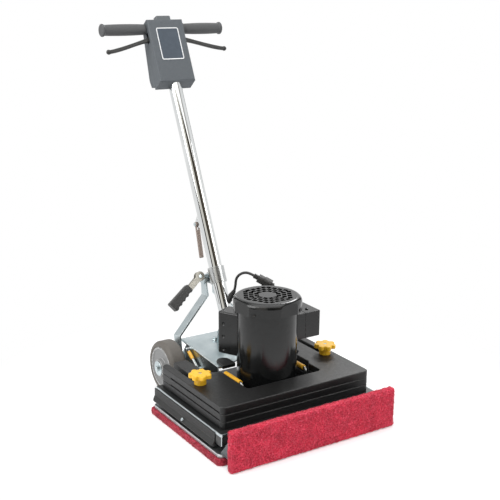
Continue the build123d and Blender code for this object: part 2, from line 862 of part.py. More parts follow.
with BuildPart() as motor_screws:
    for i in range(4):
        diagonal = radians(cover_screw_turn + 90 * i)
        out = (cos(diagonal), sin(diagonal), 0)
        with BuildSketch(
            Plane(
                origin=((cover_r - 0.8) * out[0], (cover_r - 0.8) * out[1], cover_screw_z),
                x_dir=(-out[1], out[0], 0),
                z_dir=out,
            )
        ):
            Circle(screw_r - 1)
        extrude(amount=screw_head - 1)
        around = radians(90 * i + (35 if i % 2 == 0 else 55))
        bolt_circle = (frame_r + flange_r) / 2
        with BuildSketch(Plane(origin=(bolt_circle * cos(around), bolt_circle * sin(around), flange_top))):
            RegularPolygon(screw_r, 6)
        extrude(amount=5)
    with BuildSketch(Plane(origin=(box_split + lid_screw, 0, box_bottom + box_height))):
        Circle(screw_r - 1)
    extrude(amount=screw_head)
save(motor_screws, "motor_screws")

# Rear deck, axle and wheels


def deck_under(y):
    """Height just inside the deck sheet at a place along it."""
    return deck_front_z + (y - deck_front_y) * deck_tan - deck_sheet / 2


with BuildPart() as rear_deck:
    with BuildSketch(deck_plane):
        Rectangle(2 * deck_half, deck_length, align=(Align.CENTER, Align.MIN))
    extrude(amount=-deck_sheet)
    corners = rear_deck.edges().filter_by(lambda edge: edge.length < deck_sheet + 1)
    fillet(corners, radius=deck_corner)
    with BuildSketch(Plane.XY.offset(deck_front_z - 40)):
        Circle(deck_notch_r)
    extrude(amount=90, mode=Mode.SUBTRACT)
    for side in (-1, 1):
        with BuildSketch(Plane.YZ.offset(side * deck_half)):
            with BuildLine():
                Polyline(
                    (cheek_front, deck_under(cheek_front)),
                    (cheek_front, pan_top),
                    (cheek_rear, pan_top),
                    (axle_y - 14, axle_z - 14),
                    (axle_y + 8, axle_z - 14),
                    (axle_y + 15, axle_z - 4),
                    (axle_y + 12, axle_z + 14),
                    (axle_y - 26, deck_under(axle_y - 26)),
                    close=True,
                )
            make_face()
            with Locations((axle_y, axle_z)):
                Circle(axle_r + seated, mode=Mode.SUBTRACT)
            with Locations(rod_high):
                Circle(rod_r + seated, mode=Mode.SUBTRACT)
        extrude(amount=-side * deck_sheet)
        with BuildSketch(Plane.YZ.offset(side * ear_inner)):
            with BuildLine():
                Polyline(
                    (tilt_y - 24, deck_under(tilt_y - 24)),
                    (tilt_y + 24, deck_under(tilt_y + 24)),
                    (tilt_y + ear_r - 1, tilt_z + 4),
                    (tilt_y - ear_r + 1, tilt_z + 4),
                    close=True,
                )
            make_face()
            with Locations((tilt_y, tilt_z)):
                Circle(ear_r)
                Circle(pivot_r + seated, mode=Mode.SUBTRACT)
        extrude(amount=side * ear_sheet)
save(rear_deck, "rear_deck")

puck_round = puck_depth - puck_half
with BuildPart() as deck_pucks:
    with BuildSketch(deck_plane):
        for side in (-1, 1):
            with Locations((side * puck_x, puck_round)):
                Circle(puck_half)
            with Locations((side * puck_x, (puck_round - puck_lip) / 2)):
                Rectangle(2 * puck_half, puck_round + puck_lip)
    extrude(amount=puck_height)
    with BuildSketch(deck_plane.offset(puck_height)):
        for side in (-1, 1):
            with Locations((side * puck_x, -puck_lip / 2)):
                Rectangle(2 * puck_half, puck_lip)
    extrude(amount=-puck_front)
    upward = Axis(deck_plane.origin, deck_plane.z_dir)
    chamfer(deck_pucks.faces().sort_by(upward)[-2:].edges(), length=1)
save(deck_pucks, "deck_pucks")

with BuildPart() as axle:
    with BuildSketch(Plane(origin=(-wheel_outer - axial, axle_y, axle_z), x_dir=(0, 1, 0), z_dir=(1, 0, 0))):
        Circle(axle_r)
    extrude(amount=2 * (wheel_outer + axial))
save(axle, "axle")

for side, name in ((-1, "left"), (1, "right")):
    wheel_mid = (wheel_inner + tyre_outer) / 2
    crown = (tyre_outer - wheel_inner) / 2 - tread_half
    shoulder = sin(radians(45))
    with BuildPart() as tyre:
        with BuildSketch(wheel_plane):
            with BuildLine():
                Line(
                    (side * (wheel_mid - tread_half), wheel_r),
                    (side * (wheel_mid + tread_half), wheel_r),
                )
                for way in (-1, 1):
                    ThreePointArc(
                        (side * (wheel_mid + way * tread_half), wheel_r),
                        (
                            side * (wheel_mid + way * (tread_half + crown * shoulder)),
                            tyre_side_r + (wheel_r - tyre_side_r) * shoulder,
                        ),
                        (side * (wheel_mid + way * (tread_half + crown)), tyre_side_r),
                    )
                    Line(
                        (side * (wheel_mid + way * (tread_half + crown)), tyre_side_r),
                        (side * (wheel_mid + way * (tread_half + crown - 2.5)), rim_r + seated),
                    )
                Line(
                    (side * (wheel_inner + 2.5), rim_r + seated),
                    (side * (tyre_outer - 2.5), rim_r + seated),
                )
            make_face()
        revolve(axis=axle_axis)
    save(tyre, f"{name}_tyre")
    with BuildPart() as hub:
        with BuildSketch(wheel_plane):
            with BuildLine():
                Polyline(
                    (side * wheel_inner, axle_r + running),
                    (side * wheel_inner, 24),
                    (side * (wheel_inner + 9), 27),
                    (side * (wheel_inner + 9), 42),
                    (side * (wheel_inner + 2.5), 46),
                    (side * (wheel_inner + 2.5), rim_r),
                    (side * (tyre_outer - 2.5), rim_r),
                    (side * (tyre_outer - 1), rim_r - 2),
                    (side * (tyre_outer - 1), rim_r - 5),
                    (side * (tyre_outer - 3), rim_r - 7),
                    (side * (tyre_outer - 5), rim_r - 11),
                    (side * (tyre_outer - 5), 27),
                    (side * wheel_outer, 24),
                    (side * wheel_outer, axle_r + running),
                    close=True,
                )
            make_face()
        revolve(axis=axle_axis)
    save(hub, f"{name}_hub")

# Tie rods, lift bars and their sleeves

rod_run = hypot(rod_high[0] - rod_low[0], rod_high[1] - rod_low[1])
rod_dir = (0, (rod_high[0] - rod_low[0]) / rod_run, (rod_high[1] - rod_low[1]) / rod_run)
with BuildPart() as sleeved_rods:
    for side in (-1, 1):
        with BuildSketch(Plane(origin=(side * rod_x, *rod_low), x_dir=(1, 0, 0), z_dir=rod_dir)):
            Circle(rod_r)
        extrude(amount=rod_run)
        for end in (rod_low, rod_high):
            with BuildSketch(Plane.YZ.offset(side * rod_x)):
                with Locations(end):
                    Circle(rod_eye_r)
            extrude(amount=rod_eye_half, both=True)
            with BuildSketch(Plane.YZ.offset(side * rod_x)):
                with Locations(end):
                    Circle(rod_r + seated)
            extrude(amount=rod_eye_half + 4, both=True, mode=Mode.SUBTRACT)
        with BuildLine() as bar_path:
            FilletPolyline(
                (side * lift_x, lift_front, pan_top),
                (side * lift_x, lift_front, lift_z),
                (side * lift_x, lift_rear, lift_z),
                (side * lift_x, lift_rear, pan_top),
                radius=lift_bend,
            )
        with BuildSketch(Plane(origin=(side * lift_x, lift_front, pan_top))):
            Circle(rod_r)
        sweep(path=bar_path.wires()[0])
save(sleeved_rods, "sleeved_rods")

with BuildPart() as rod_sleeves:
    for side in (-1, 1):
        start = (
            side * rod_x,
            rod_low[0] + rod_dir[1] * tie_bare,
            rod_low[1] + rod_dir[2] * tie_bare,
        )
        with BuildSketch(Plane(origin=start, x_dir=(1, 0, 0), z_dir=rod_dir)):
            Circle(tie_sleeve_r)
            Circle(rod_r + seated, mode=Mode.SUBTRACT)
        extrude(amount=rod_run - tie_bare - rod_eye_r - 1)
        with BuildSketch(
            Plane(
                origin=(side * lift_x, lift_front + lift_bend + lift_bare, lift_z),
                x_dir=(1, 0, 0),
                z_dir=(0, 1, 0),
            )
        ):
            Circle(sleeve_r)
            Circle(rod_r + seated, mode=Mode.SUBTRACT)
        extrude(amount=lift_rear - lift_front - 2 * (lift_bend + lift_bare))
save(rod_sleeves, "rod_sleeves")

# Fixed bolts, studs, spacers and axle end plates of the base

slope_out = bumper_depth - bumper_lip
slope_fall = bumper_slope - bumper_nose
yoke_inner = yoke_low_x - yoke_sheet / 2 - axial
yoke_outer = yoke_low_x + yoke_sheet / 2 + axial
with BuildPart() as base_fasteners:
    for side in (-1, 1):
        with BuildSketch(Plane(origin=(side * stud_x, stud_y, pan_top))):
            Circle(stud_r)
        extrude(amount=stud_top - pan_top)
        screw_seat = Plane(
            origin=(
                side * (pan_width / 2 + bumper_lip + bumper_screw_down * slope_out / slope_fall),
                bumper_screw_y,
                bumper_slope - bumper_screw_down,
            ),
            x_dir=(0, 1, 0),
            z_dir=(side * slope_fall, 0, slope_out),
        )
        with BuildSketch(screw_seat):
            Circle(screw_r - 1)
        extrude(amount=3)
        with BuildSketch(deck_plane):
            with Locations((side * deck_bolt_x, deck_bolt_along)):
                Circle(deck_washer_r)
        extrude(amount=1.5)
        with BuildSketch(deck_plane.offset(1.5)):
            with Locations((side * deck_bolt_x, deck_bolt_along)):
                RegularPolygon(deck_washer_r - 1.5, 6)
        extrude(amount=6)
        for start, end, radius in (
            (deck_half, yoke_inner, spacer_r),
            (yoke_outer, wheel_inner - axial, spacer_r),
        ):
            with BuildSketch(Plane.YZ.offset(side * start)):
                with Locations((axle_y, axle_z)):
                    Circle(radius)
                    Circle(axle_r + seated, mode=Mode.SUBTRACT)
            extrude(amount=side * (end - start))
        with BuildSketch(Plane.YZ.offset(side * (wheel_outer + axial))):
            with Locations((axle_y, axle_z)):
                Circle(end_plate_r)
        extrude(amount=side * end_plate)
        with BuildSketch(Plane.YZ.offset(side * (wheel_outer + axial + end_plate))):
            with Locations((axle_y, axle_z)):
                RegularPolygon(8, 6)
        extrude(amount=side * 5.5)
        with BuildSketch(Plane.YZ.offset(side * (deck_half - deck_sheet - 4))):
            with Locations(rod_high):
                Circle(rod_r)
        extrude(amount=side * (rod_x + rod_eye_half + 2 - deck_half + deck_sheet + 4))
        with BuildSketch(Plane.YZ.offset(side * deck_half)):
            with Locations(rod_high):
                Circle(rod_r + 3)
        extrude(amount=side * (rod_x - rod_eye_half - deck_half))
        with BuildSketch(Plane.YZ.offset(side * (rod_x + rod_eye_half))):
            with Locations(rod_high):
                Circle(rod_r + 3)
        extrude(amount=side * 3)
        with BuildSketch(Plane.YZ.offset(side * (rod_x - rod_eye_half - 3))):
            with Locations(rod_low):
                Circle(rod_r + 3)
        extrude(amount=side * 3)
        with BuildSketch(Plane.YZ.offset(side * (rod_x - rod_eye_half))):
            with Locations(rod_low):
                Circle(rod_r)
        extrude(amount=side * (2 * rod_eye_half + lug_sheet + 2))
    with BuildSketch(Plane.YZ.offset(-ear_inner - ear_sheet)):
        with Locations((tilt_y, tilt_z)):
            Circle(pivot_r)
    extrude(amount=2 * (ear_inner + ear_sheet))
    for side in (-1, 1):
        with BuildSketch(Plane.YZ.offset(side * (ear_inner + ear_sheet))):
            with Locations((tilt_y, tilt_z)):
                RegularPolygon(10, 6)
        extrude(amount=side * 6)
save(base_fasteners, "base_fasteners")

# Handle tube with the welded hook tab, and the handlebar

with BuildPart() as handle_tube:
    with BuildSketch(tube_cross.offset(tube_foot)):
        Circle(tube_r)
        Circle(tube_r - tube_wall, mode=Mode.SUBTRACT)
    extrude(amount=bar_s - tube_foot)
    with BuildSketch(tube_side):
        with Locations((0, bar_s)):
            Circle(bar_r + seated)
        Circle(pivot_r + running)
    extrude(amount=tube_r + 10, both=True, mode=Mode.SUBTRACT)
    with BuildSketch(tube_side):
        Polygon(
            (seam_n_high - 4, bar_s + seam_high - 1),
            (hip_n - 4, bar_s + hip_level - 1),
            (hip_n + 20, bar_s + hip_level - 1),
            (hip_n + 20, bar_s + front_high),
            (seam_n_high - 4, bar_s + front_high),
            align=None,
        )
    extrude(amount=tube_r + 10, both=True, mode=Mode.SUBTRACT)
    with BuildSketch(tube_side):
        Polygon(
            (tube_r - 0.8, hook_s - 20),
            (tube_r - 0.8, hook_s + 38),
            (hook_n + 3, hook_s + 9),
            (hook_n + 8, hook_s),
            (hook_n + 3, hook_s - 8),
            align=None,
        )
        with Locations((hook_n, hook_s)):
            Circle(hook_pin_r + seated, mode=Mode.SUBTRACT)
        with Locations((hook_n - 12, hook_s + 12)):
            Circle(hook_hole_r, mode=Mode.SUBTRACT)
    extrude(amount=hook_tab / 2, both=True)
save(handle_tube, "handle_tube")

with BuildPart() as handlebar:
    with BuildSketch(tube_side):
        with Locations((0, bar_s)):
            Circle(bar_r)
            Circle(bar_r - tube_wall, mode=Mode.SUBTRACT)
    extrude(amount=bar_half, both=True)
save(handlebar, "handlebar")

right_grip_start = grip_start + grip_collar + grip_ring
for side, start, name in ((-1, grip_start, "left_grip"), (1, right_grip_start, "right_grip")):
    with BuildPart() as grip:
        with BuildSketch(tube_face):
            with BuildLine():
                ThreePointArc(
                    (side * start, bar_s + grip_r - 1.6),
                    (side * (start + 62), bar_s + grip_r),
                    (side * (grip_end - 9), bar_s + grip_r - 1.2),
                )
                Polyline(
                    (side * (grip_end - 9), bar_s + grip_r - 1.2),
                    (side * (grip_end - 7), bar_s + grip_flange_r - 0.6),
                    (side * (grip_end - 5), bar_s + grip_flange_r),
                    (side * (grip_end - 2), bar_s + grip_flange_r),
                    (side * grip_end, bar_s + grip_flange_r - 3),
                    (side * grip_end, bar_s),
                    (side * bar_half, bar_s),
                    (side * bar_half, bar_s + bar_r + seated),
                    (side * start, bar_s + bar_r + seated),
                    (side * start, bar_s + grip_r - 1.6),
                )
            make_face()
        revolve(axis=bar_axis)
        if side > 0:
            for begin, end, radius in (
                (grip_start, grip_start + grip_collar, grip_r),
                (grip_start + grip_collar, start, grip_ring_r),
            ):
                with BuildSketch(tube_side.offset(begin)):
                    with Locations((0, bar_s)):
                        Circle(radius)
                        Circle(bar_r + seated, mode=Mode.SUBTRACT)
                extrude(amount=end - begin)
    save(grip, name)

# Control housing in two shells, with its label place, switch, button and triggers

seam_top = (seam_n_high, bar_s + seam_high)
seam_slope = (seam_n_low - seam_n_high) / (seam_high - seam_low)
seam_rear = (seam_n_high + (seam_high - rear_level) * seam_slope, rear_bottom)
front_outline = (
    (front_n, bar_s + front_low),
    (front_n, bar_s + front_high),
    seam_top,
    (seam_n_low, housing_bottom),
)
rear_outline = (seam_top, (hip_n, bar_s + hip_level), (rear_n, rear_bottom), seam_rear)
whole_outline = front_outline[:3] + rear_outline[1:] + front_outline[3:]
facing = Axis((0, 0, 0), (0, -back[1], -back[2]))

with BuildPart() as housing_front:
    with BuildSketch(tube_side):
        with BuildLine():
            Polyline(*front_outline, close=True)
        make_face()
    extrude(amount=housing_half, both=True)
    fillet(housing_front.faces().sort_by(facing)[-1].edges(), radius=housing_round)
    with BuildSketch(tube_side):
        with BuildLine():
            Polyline(*whole_outline, close=True)
        make_face()
        offset(amount=-housing_wall, mode=Mode.REPLACE, kind=Kind.INTERSECTION)
    extrude(amount=housing_half - housing_wall, both=True, mode=Mode.SUBTRACT)
    with BuildSketch(tube_side):
        with Locations((0, bar_s)):
            Circle(bar_r + seated)
        with Locations((trigger_n, trigger_s + trigger_slot_up)):
            RectangleRounded(trigger_thick + 3, trigger_slot, 3)
    extrude(amount=housing_half + 1, both=True, mode=Mode.SUBTRACT)
    with BuildSketch(tube_cross.offset(bar_s + bar_r)):
        with Locations((0, button_n)):
            RectangleRounded(
                2 * (button_half + button_gap), button_depth + 2 * button_gap, button_corner + button_gap
            )
    extrude(amount=20, mode=Mode.SUBTRACT)
    with BuildSketch(tube_cross.offset(housing_bottom - 4)):
        Circle(tube_r + seated)
    extrude(amount=28, mode=Mode.SUBTRACT)
save(housing_front, "housing_front")

with BuildPart() as housing_rear:
    with BuildSketch(tube_side):
        with BuildLine():
            Polyline(*rear_outline, close=True)
        make_face()
    extrude(amount=housing_half, both=True)
    fillet(housing_rear.faces().sort_by(facing)[0].edges(), radius=housing_round)
    with BuildSketch(tube_side):
        with BuildLine():
            Polyline(*whole_outline, close=True)
        make_face()
        offset(amount=-housing_wall, mode=Mode.REPLACE, kind=Kind.INTERSECTION)
    extrude(amount=housing_half - housing_wall, both=True, mode=Mode.SUBTRACT)
    with BuildSketch(tube_cross.offset(housing_bottom - 4)):
        Circle(tube_r + seated)
    extrude(amount=28, mode=Mode.SUBTRACT)
save(housing_rear, "housing_rear")

with BuildPart() as label_panel:
    with BuildSketch(tube_face.offset(-front_n)):
        with Locations((0, bar_s + (label_low + label_high) / 2)):
            RectangleRounded(label_width, label_high - label_low, 6)
    extrude(amount=label_thick)
save(label_panel, "label_panel")

with BuildPart() as start_switch:
    with BuildSketch(tube_face.offset(-front_n - housing_wall)):
        with Locations((switch_x, bar_s + switch_level)):
            Rectangle(26, 40)
    extrude(amount=-25)
save(start_switch, "start_switch")

with BuildPart() as interlock_button:
    with BuildSketch(tube_cross.offset(bar_s + button_low)):
        with Locations((0, button_n)):
            RectangleRounded(2 * button_half, button_depth, button_corner)
    extrude(amount=button_high - button_low)
    fillet(interlock_button.faces().sort_by(Axis((0, 0, 0), up))[-1].edges(), radius=3.5)
save(interlock_button, "interlock_button")

with BuildPart() as right_trigger:
    with BuildSketch(tube_face.offset(-trigger_n)):
        with BuildLine():
            Spline(
                (trigger_x, trigger_s + 8),
                (90, trigger_s - 6),
                (140, trigger_s - 20),
                (trigger_tip[0] - 2, trigger_tip[1] + 5),
            )
            Line(
                (trigger_tip[0] - 2, trigger_tip[1] + 5),
                (trigger_tip[0] - 2, trigger_tip[1] - 5),
            )
            Spline(
                (trigger_tip[0] - 2, trigger_tip[1] - 5),
                (140, trigger_s - 31),
                (90, trigger_s - 17),
                (trigger_x, trigger_s - 8),
            )
            Line((trigger_x, trigger_s - 8), (trigger_x, trigger_s + 8))
        make_face()
    extrude(amount=trigger_thick / 2, both=True)
    along = right_trigger.edges().filter_by(GeomType.BSPLINE)
    fillet(along, radius=3)
    with BuildSketch(tube_face.offset(-trigger_n)):
        with Locations((trigger_x, trigger_s)):
            Circle(8)
    extrude(amount=trigger_thick / 2, both=True)
    with Locations(on_tube(trigger_tip[0], trigger_n, trigger_tip[1])):
        Sphere(trigger_ball)
    with BuildSketch(tube_face.offset(-trigger_n)):
        with Locations((trigger_x, trigger_s)):
            Circle(trigger_pin_r + running)
    extrude(amount=trigger_thick, both=True, mode=Mode.SUBTRACT)
save(right_trigger, "right_trigger")

with BuildPart() as left_trigger:
    mirror(right_trigger.part, about=Plane.YZ)
save(left_trigger, "left_trigger")

with BuildPart() as mains_inlet:
    with BuildSketch(tube_cross.offset(rear_bottom)):
        with Locations((0, inlet_n)):
            Circle(inlet_flange_r)
    extrude(amount=-4)
    with BuildSketch(tube_cross.offset(rear_bottom - 4)):
        with Locations((0, inlet_n)):
            Circle(inlet_r)
    extrude(amount=-9, taper=6)
save(mains_inlet, "mains_inlet")

gland_side = cos(radians(gland_rise)) * cos(radians(gland_turn))
gland_fore = cos(radians(gland_rise)) * sin(radians(gland_turn))
gland_along = sin(radians(gland_rise))
gland_out = (
    gland_side,
    gland_along * up[1] - gland_fore * back[1],
    gland_along * up[2] - gland_fore * back[2],
)
gland_at = on_tube(0, 0, gland_s)


def gland_point(reach):
    """A point on the gland's axis, a distance out from the tube's axis."""
    return tuple(gland_at[i] + reach * gland_out[i] for i in range(3))


with BuildPart() as cord_gland:
    with BuildSketch(Plane(origin=gland_point(gland_reach - 21), x_dir=back, z_dir=gland_out)):
        Circle(10)
    extrude(amount=14)
    with BuildSketch(Plane(origin=gland_point(gland_reach - 7), x_dir=back, z_dir=gland_out)):
        Circle(7.5)
    extrude(amount=7)
    with BuildSketch(tube_cross):
        Circle(tube_r + seated)
    extrude(amount=2 * gland_s, mode=Mode.SUBTRACT)
save(cord_gland, "cord_gland")

with BuildPart() as handle_fasteners:
    for side in (-1, 1):
        with BuildSketch(tube_face.offset(-front_n - housing_wall)):
            with Locations((side * trigger_x, trigger_s)):
                Circle(trigger_pin_r)
        extrude(amount=-31)
    with BuildSketch(tube_side):
        with Locations((hook_n, hook_s)):
            Circle(hook_pin_r)
    extrude(amount=hook_half + axial, both=True)
    for side in (-1, 1):
        with BuildSketch(tube_side.offset(side * (hook_half + axial))):
            with Locations((hook_n, hook_s)):
                Circle(hook_pin_r + 2.5)
        extrude(amount=side * 2.5)
save(handle_fasteners, "handle_fasteners")

hook_way = (sin(radians(hook_out)), -cos(radians(hook_out)))


def on_hook(along, across):
    """A place in the hook's own plane, along it from its pin and square to it."""
    return (
        hook_n + along * hook_way[0] - across * hook_way[1],
        hook_s + along * hook_way[1] + across * hook_way[0],
    )


with BuildPart() as cord_hook:
    with BuildSketch(tube_side.offset(-hook_half)):
        Polygon(
            on_hook(0, hook_thick / 2),
            on_hook(hook_length, hook_thick / 2),
            on_hook(hook_length, -hook_thick / 2),
            on_hook(0, -hook_thick / 2),
            align=None,
        )
        with Locations((hook_n, hook_s)):
            Circle(hook_pin_r + 4)
        with Locations(on_hook(hook_length, 0)):
            Circle(hook_thick / 2)
    extrude(amount=2 * hook_half)
    with BuildSketch(tube_side.offset(-hook_half)):
        with Locations((hook_n, hook_s)):
            Circle(hook_pin_r + running)
    extrude(amount=2 * hook_half, mode=Mode.SUBTRACT)
    with BuildSketch(tube_side.offset(-hook_tab / 2 - axial)):
        with Locations((hook_n, hook_s)):
            Circle(hook_slot_r)
    extrude(amount=hook_tab + 2 * axial, mode=Mode.SUBTRACT)
save(cord_hook, "cord_hook")

# Clamp collar, cam lever and yoke

with BuildPart() as tube_collar:
    with BuildSketch(tube_cross.offset(collar_low)):
        Circle(collar_r)
    extrude(amount=collar_high - collar_low)
    for side in (-1, 1):
        with BuildSketch(tube_side.offset(side * collar_ear_inner)):
            with BuildLine():
                Polyline(
                    (tube_r, collar_low + 2),
                    (yoke_n + 2, yoke_s - 11),
                    (yoke_n + 10, yoke_s),
                    (yoke_n + 4, yoke_s + 10),
                    (lever_n + 6, lever_s + 9),
                    (tube_r, lever_s + 9),
                    close=True,
                )
            make_face()
            with Locations((yoke_n, yoke_s)):
                Circle(yoke_pin_r + seated, mode=Mode.SUBTRACT)
            with Locations((lever_n, lever_s)):
                Circle(lever_bolt_r + seated, mode=Mode.SUBTRACT)
        extrude(amount=side * collar_ear_sheet)
    with BuildSketch(tube_cross.offset(collar_low - 5)):
        Circle(tube_r + running)
        with Locations((0, tube_r)):
            Rectangle(4, 2 * tube_r)
    extrude(amount=collar_high - collar_low + 10, mode=Mode.SUBTRACT)
save(tube_collar, "tube_collar")

ear_face = collar_ear_inner + collar_ear_sheet
leg_inner = yoke_high_x - yoke_sheet / 2 - axial
leg_outer = yoke_high_x + yoke_sheet / 2 + axial
with BuildPart() as clamp_bolts:
    with BuildSketch(tube_side):
        with Locations((yoke_n, yoke_s)):
            Circle(yoke_pin_r)
    extrude(amount=leg_outer + 3, both=True)
    for side in (-1, 1):
        with BuildSketch(tube_side.offset(side * ear_face)):
            with Locations((yoke_n, yoke_s)):
                Circle(yoke_pin_r + 4)
        extrude(amount=side * (leg_inner - ear_face))
        with BuildSketch(tube_side.offset(side * leg_outer)):
            with Locations((yoke_n, yoke_s)):
                Circle(yoke_end_r + 2)
        extrude(amount=side * 3)
    with BuildSketch(tube_side.offset(lever_x)):
        with Locations((lever_n, lever_s)):
            Circle(lever_bolt_r)
    extrude(amount=ear_face - lever_x)
    with BuildSketch(tube_side.offset(ear_face)):
        with Locations((lever_n, lever_s)):
            RegularPolygon(5, 6)
    extrude(amount=4)
    with BuildSketch(tube_side.offset(-ear_face)):
        with Locations((lever_n, lever_s)):
            Circle(lever_bolt_r + lever_spacer)
    extrude(amount=lever_x + lever_end_r + 1 + ear_face)
    with BuildSketch(tube_face.offset(-lever_n)):
        with Locations((lever_x, lever_s)):
            Circle(lever_pin_r)
    extrude(amount=lever_half + 1, both=True)
save(clamp_bolts, "clamp_bolts")

lever_angle = 180 + lever_drop
lever_dir = (cos(radians(lever_angle)), sin(radians(lever_angle)))


def on_lever(along, across):
    """A place in the lever's own plane, along it from its pivot and square to it."""
    return (
        lever_x + along * lever_dir[0] - across * lever_dir[1],
        lever_s + along * lever_dir[1] + across * lever_dir[0],
    )


def lever_strip(start, end, half):
    """A straight strip of the lever's outline."""
    Polygon(
        on_lever(start, half),
        on_lever(end, half),
        on_lever(end, -half),
        on_lever(start, -half),
        align=None,
    )


grip_from = lever_reach - lever_grip_length
with BuildPart() as cam_lever:
    with BuildSketch(tube_face.offset(-lever_n)):
        with Locations((lever_x, lever_s)):
            Circle(lever_end_r)
        lever_strip(0, grip_from, lever_arm_half)
    extrude(amount=lever_half, both=True)
    with BuildSketch(tube_face.offset(-lever_n)):
        lever_strip(grip_from - 3, grip_from + lever_tang, lever_tang_half)
    extrude(amount=lever_tang_thick, both=True)
    with BuildSketch(tube_face.offset(-lever_n)):
        with Locations((lever_x, lever_s)):
            Circle(lever_slot_r)
    extrude(amount=lever_slot, both=True, mode=Mode.SUBTRACT)
    with BuildSketch(tube_face.offset(-lever_n)):
        with Locations((lever_x, lever_s)):
            Circle(lever_pin_r + running)
    extrude(amount=lever_half + 2, both=True, mode=Mode.SUBTRACT)
save(cam_lever, "cam_lever")

grip_flare = (lever_grip_half - lever_grip_start) / lever_grip_length
with BuildPart() as lever_grip:
    with BuildSketch(tube_face.offset(-lever_n)) as grip_shape:
        Polygon(
            on_lever(grip_from, lever_grip_shift + lever_grip_start),
            on_lever(lever_reach, lever_grip_shift + lever_grip_half),
            on_lever(lever_reach, lever_grip_shift - lever_grip_half),
            on_lever(grip_from, lever_grip_shift - lever_grip_start),
            align=None,
        )
        fillet(grip_shape.vertices(), radius=4)
        for i in range(finger_count):
            along = finger_first + i * finger_pitch
            edge = lever_grip_shift + lever_grip_start + grip_flare * (along - grip_from)
            with Locations(on_lever(along, edge + finger_r - finger_deep)):
                Circle(finger_r, mode=Mode.SUBTRACT)
    extrude(amount=lever_grip_thick, both=True)
    chamfer(lever_grip.faces().sort_by(facing)[-1].edges(), length=2)
    chamfer(lever_grip.faces().sort_by(facing)[0].edges(), length=2)
    with BuildSketch(tube_face.offset(-lever_n)):
        lever_strip(grip_from - 5, grip_from + lever_tang, lever_tang_half + seated)
    extrude(amount=lever_tang_thick, both=True, mode=Mode.SUBTRACT)
save(lever_grip, "lever_grip")

for side, name in ((-1, "left_yoke_leg"), (1, "right_yoke_leg")):
    leg_line = (
        (side * yoke_low_x, -yoke_half),
        (side * yoke_low_x, yoke_bend_low),
        (side * yoke_high_x, yoke_bend_high),
        (side * yoke_high_x, yoke_rise + yoke_end_r),
    )
    with BuildPart() as yoke_leg:
        with BuildSketch(yoke_face):
            with BuildLine():
                Polyline(*bent_sheet(leg_line, yoke_sheet), close=True)
            make_face()
        extrude(amount=yoke_half, both=True)
        with BuildSketch(yoke_side):
            with Locations((0, yoke_bend_high / 2)):
                Rectangle(2 * yoke_half, yoke_bend_high)
            Circle(yoke_half)
            with BuildLine():
                Polyline(
                    (-yoke_half, yoke_bend_high),
                    (yoke_half, yoke_bend_high),
                    (yoke_end_r, yoke_rise),
                    (-yoke_end_r, yoke_rise),
                    close=True,
                )
            make_face()
            with Locations((0, yoke_rise)):
                Circle(yoke_end_r)
                Circle(yoke_pin_r + yoke_play, mode=Mode.SUBTRACT)
            Circle(axle_r + running, mode=Mode.SUBTRACT)
        extrude(amount=yoke_low_x + 10, both=True, mode=Mode.INTERSECT)
    save(yoke_leg, name)

# Motor cord from the gland to its plug, and the socket's lead to the conduit box


def cord_tube(points):
    """Centre line of a cord: straight runs joined by tangent bends."""
    return FilletPolyline(*points, radius=bend_radii(points))


cord_start = gland_point(gland_reach)
cord_route = (cord_start, gland_point(gland_reach + cord_lead_out)) + cord_points
with BuildPart() as motor_cord:
    with BuildLine() as cord_path:
        cord_tube(cord_route)
    first_run = Vector(*cord_route[1]) - Vector(*cord_route[0])
    with BuildSketch(Plane(origin=cord_start, z_dir=first_run)):
        Circle(cord_r)
    sweep(path=cord_path.wires()[0])
save(motor_cord, "motor_cord")

plug_at = Vector(*cord_route[-1])
plug_way = (plug_at - Vector(*cord_route[-2])).normalized()
plug_plane = Plane(origin=plug_at, x_dir=(-plug_way.Y, plug_way.X, 0), z_dir=plug_way)
with BuildPart() as cord_plug:
    with BuildSketch(plug_plane):
        Circle(cord_r + 2)
    extrude(amount=plug_relief)
    for ring in range(3):
        with BuildSketch(plug_plane.offset(1.5 + 4.2 * ring)):
            Circle(cord_r + 3.6)
        extrude(amount=2.4)
    with BuildSketch(plug_plane.offset(plug_relief)):
        RectangleRounded(26, 20, 6)
    extrude(amount=plug_length)
save(cord_plug, "cord_plug")

socket_plane = plug_plane.offset(plug_relief + plug_length)
socket_end = socket_plane.origin + plug_way * socket_length
lead_route = (
    tuple(socket_end),
    tuple(socket_end + plug_way * lead_out),
    lead_bend,
    (lead_in[0], box_rear + lead_in_run, lead_in[1]),
    (lead_in[0], box_rear, lead_in[1]),
)
with BuildPart() as socket_lead:
    with BuildSketch(socket_plane):
        RectangleRounded(30, 23, 7)
    extrude(amount=socket_length - 8)
    with BuildSketch(socket_plane.offset(socket_length - 8)):
        Circle(8)
    extrude(amount=8)
    with BuildLine() as lead_path:
        cord_tube(lead_route)
    lead_run = Vector(*lead_route[1]) - Vector(*lead_route[0])
    with BuildSketch(Plane(origin=lead_route[0], z_dir=lead_run)):
        Circle(cord_r)
    sweep(path=lead_path.wires()[0])
save(socket_lead, "socket_lead")

for name, route, tube in (
    ("motor cord", cord_route, motor_cord),
    ("socket lead", lead_route, socket_lead),
):
    runs = [round((Vector(*b) - Vector(*a)).length, 1) for a, b in zip(route, route[1:])]
    radii = [round(radius, 1) for radius in bend_radii(route)]
    print(name, "runs", runs, "radii", radii, "volume", round(tube.part.volume))
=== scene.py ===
# %% [markdown]
# # An orbital floor buffer
# The hard parts come from the CAD model as a frame of separate pieces, each on the body that it moves
# with. This script gives them their finishes and edges, and makes what CAD leaves plain: the fibrous
# pads, the cord with its boot, the label place and the slotted screws.

# %% Load the frame
import json
import math

import bmesh
import bpy
from mathutils import Matrix, Vector, noise


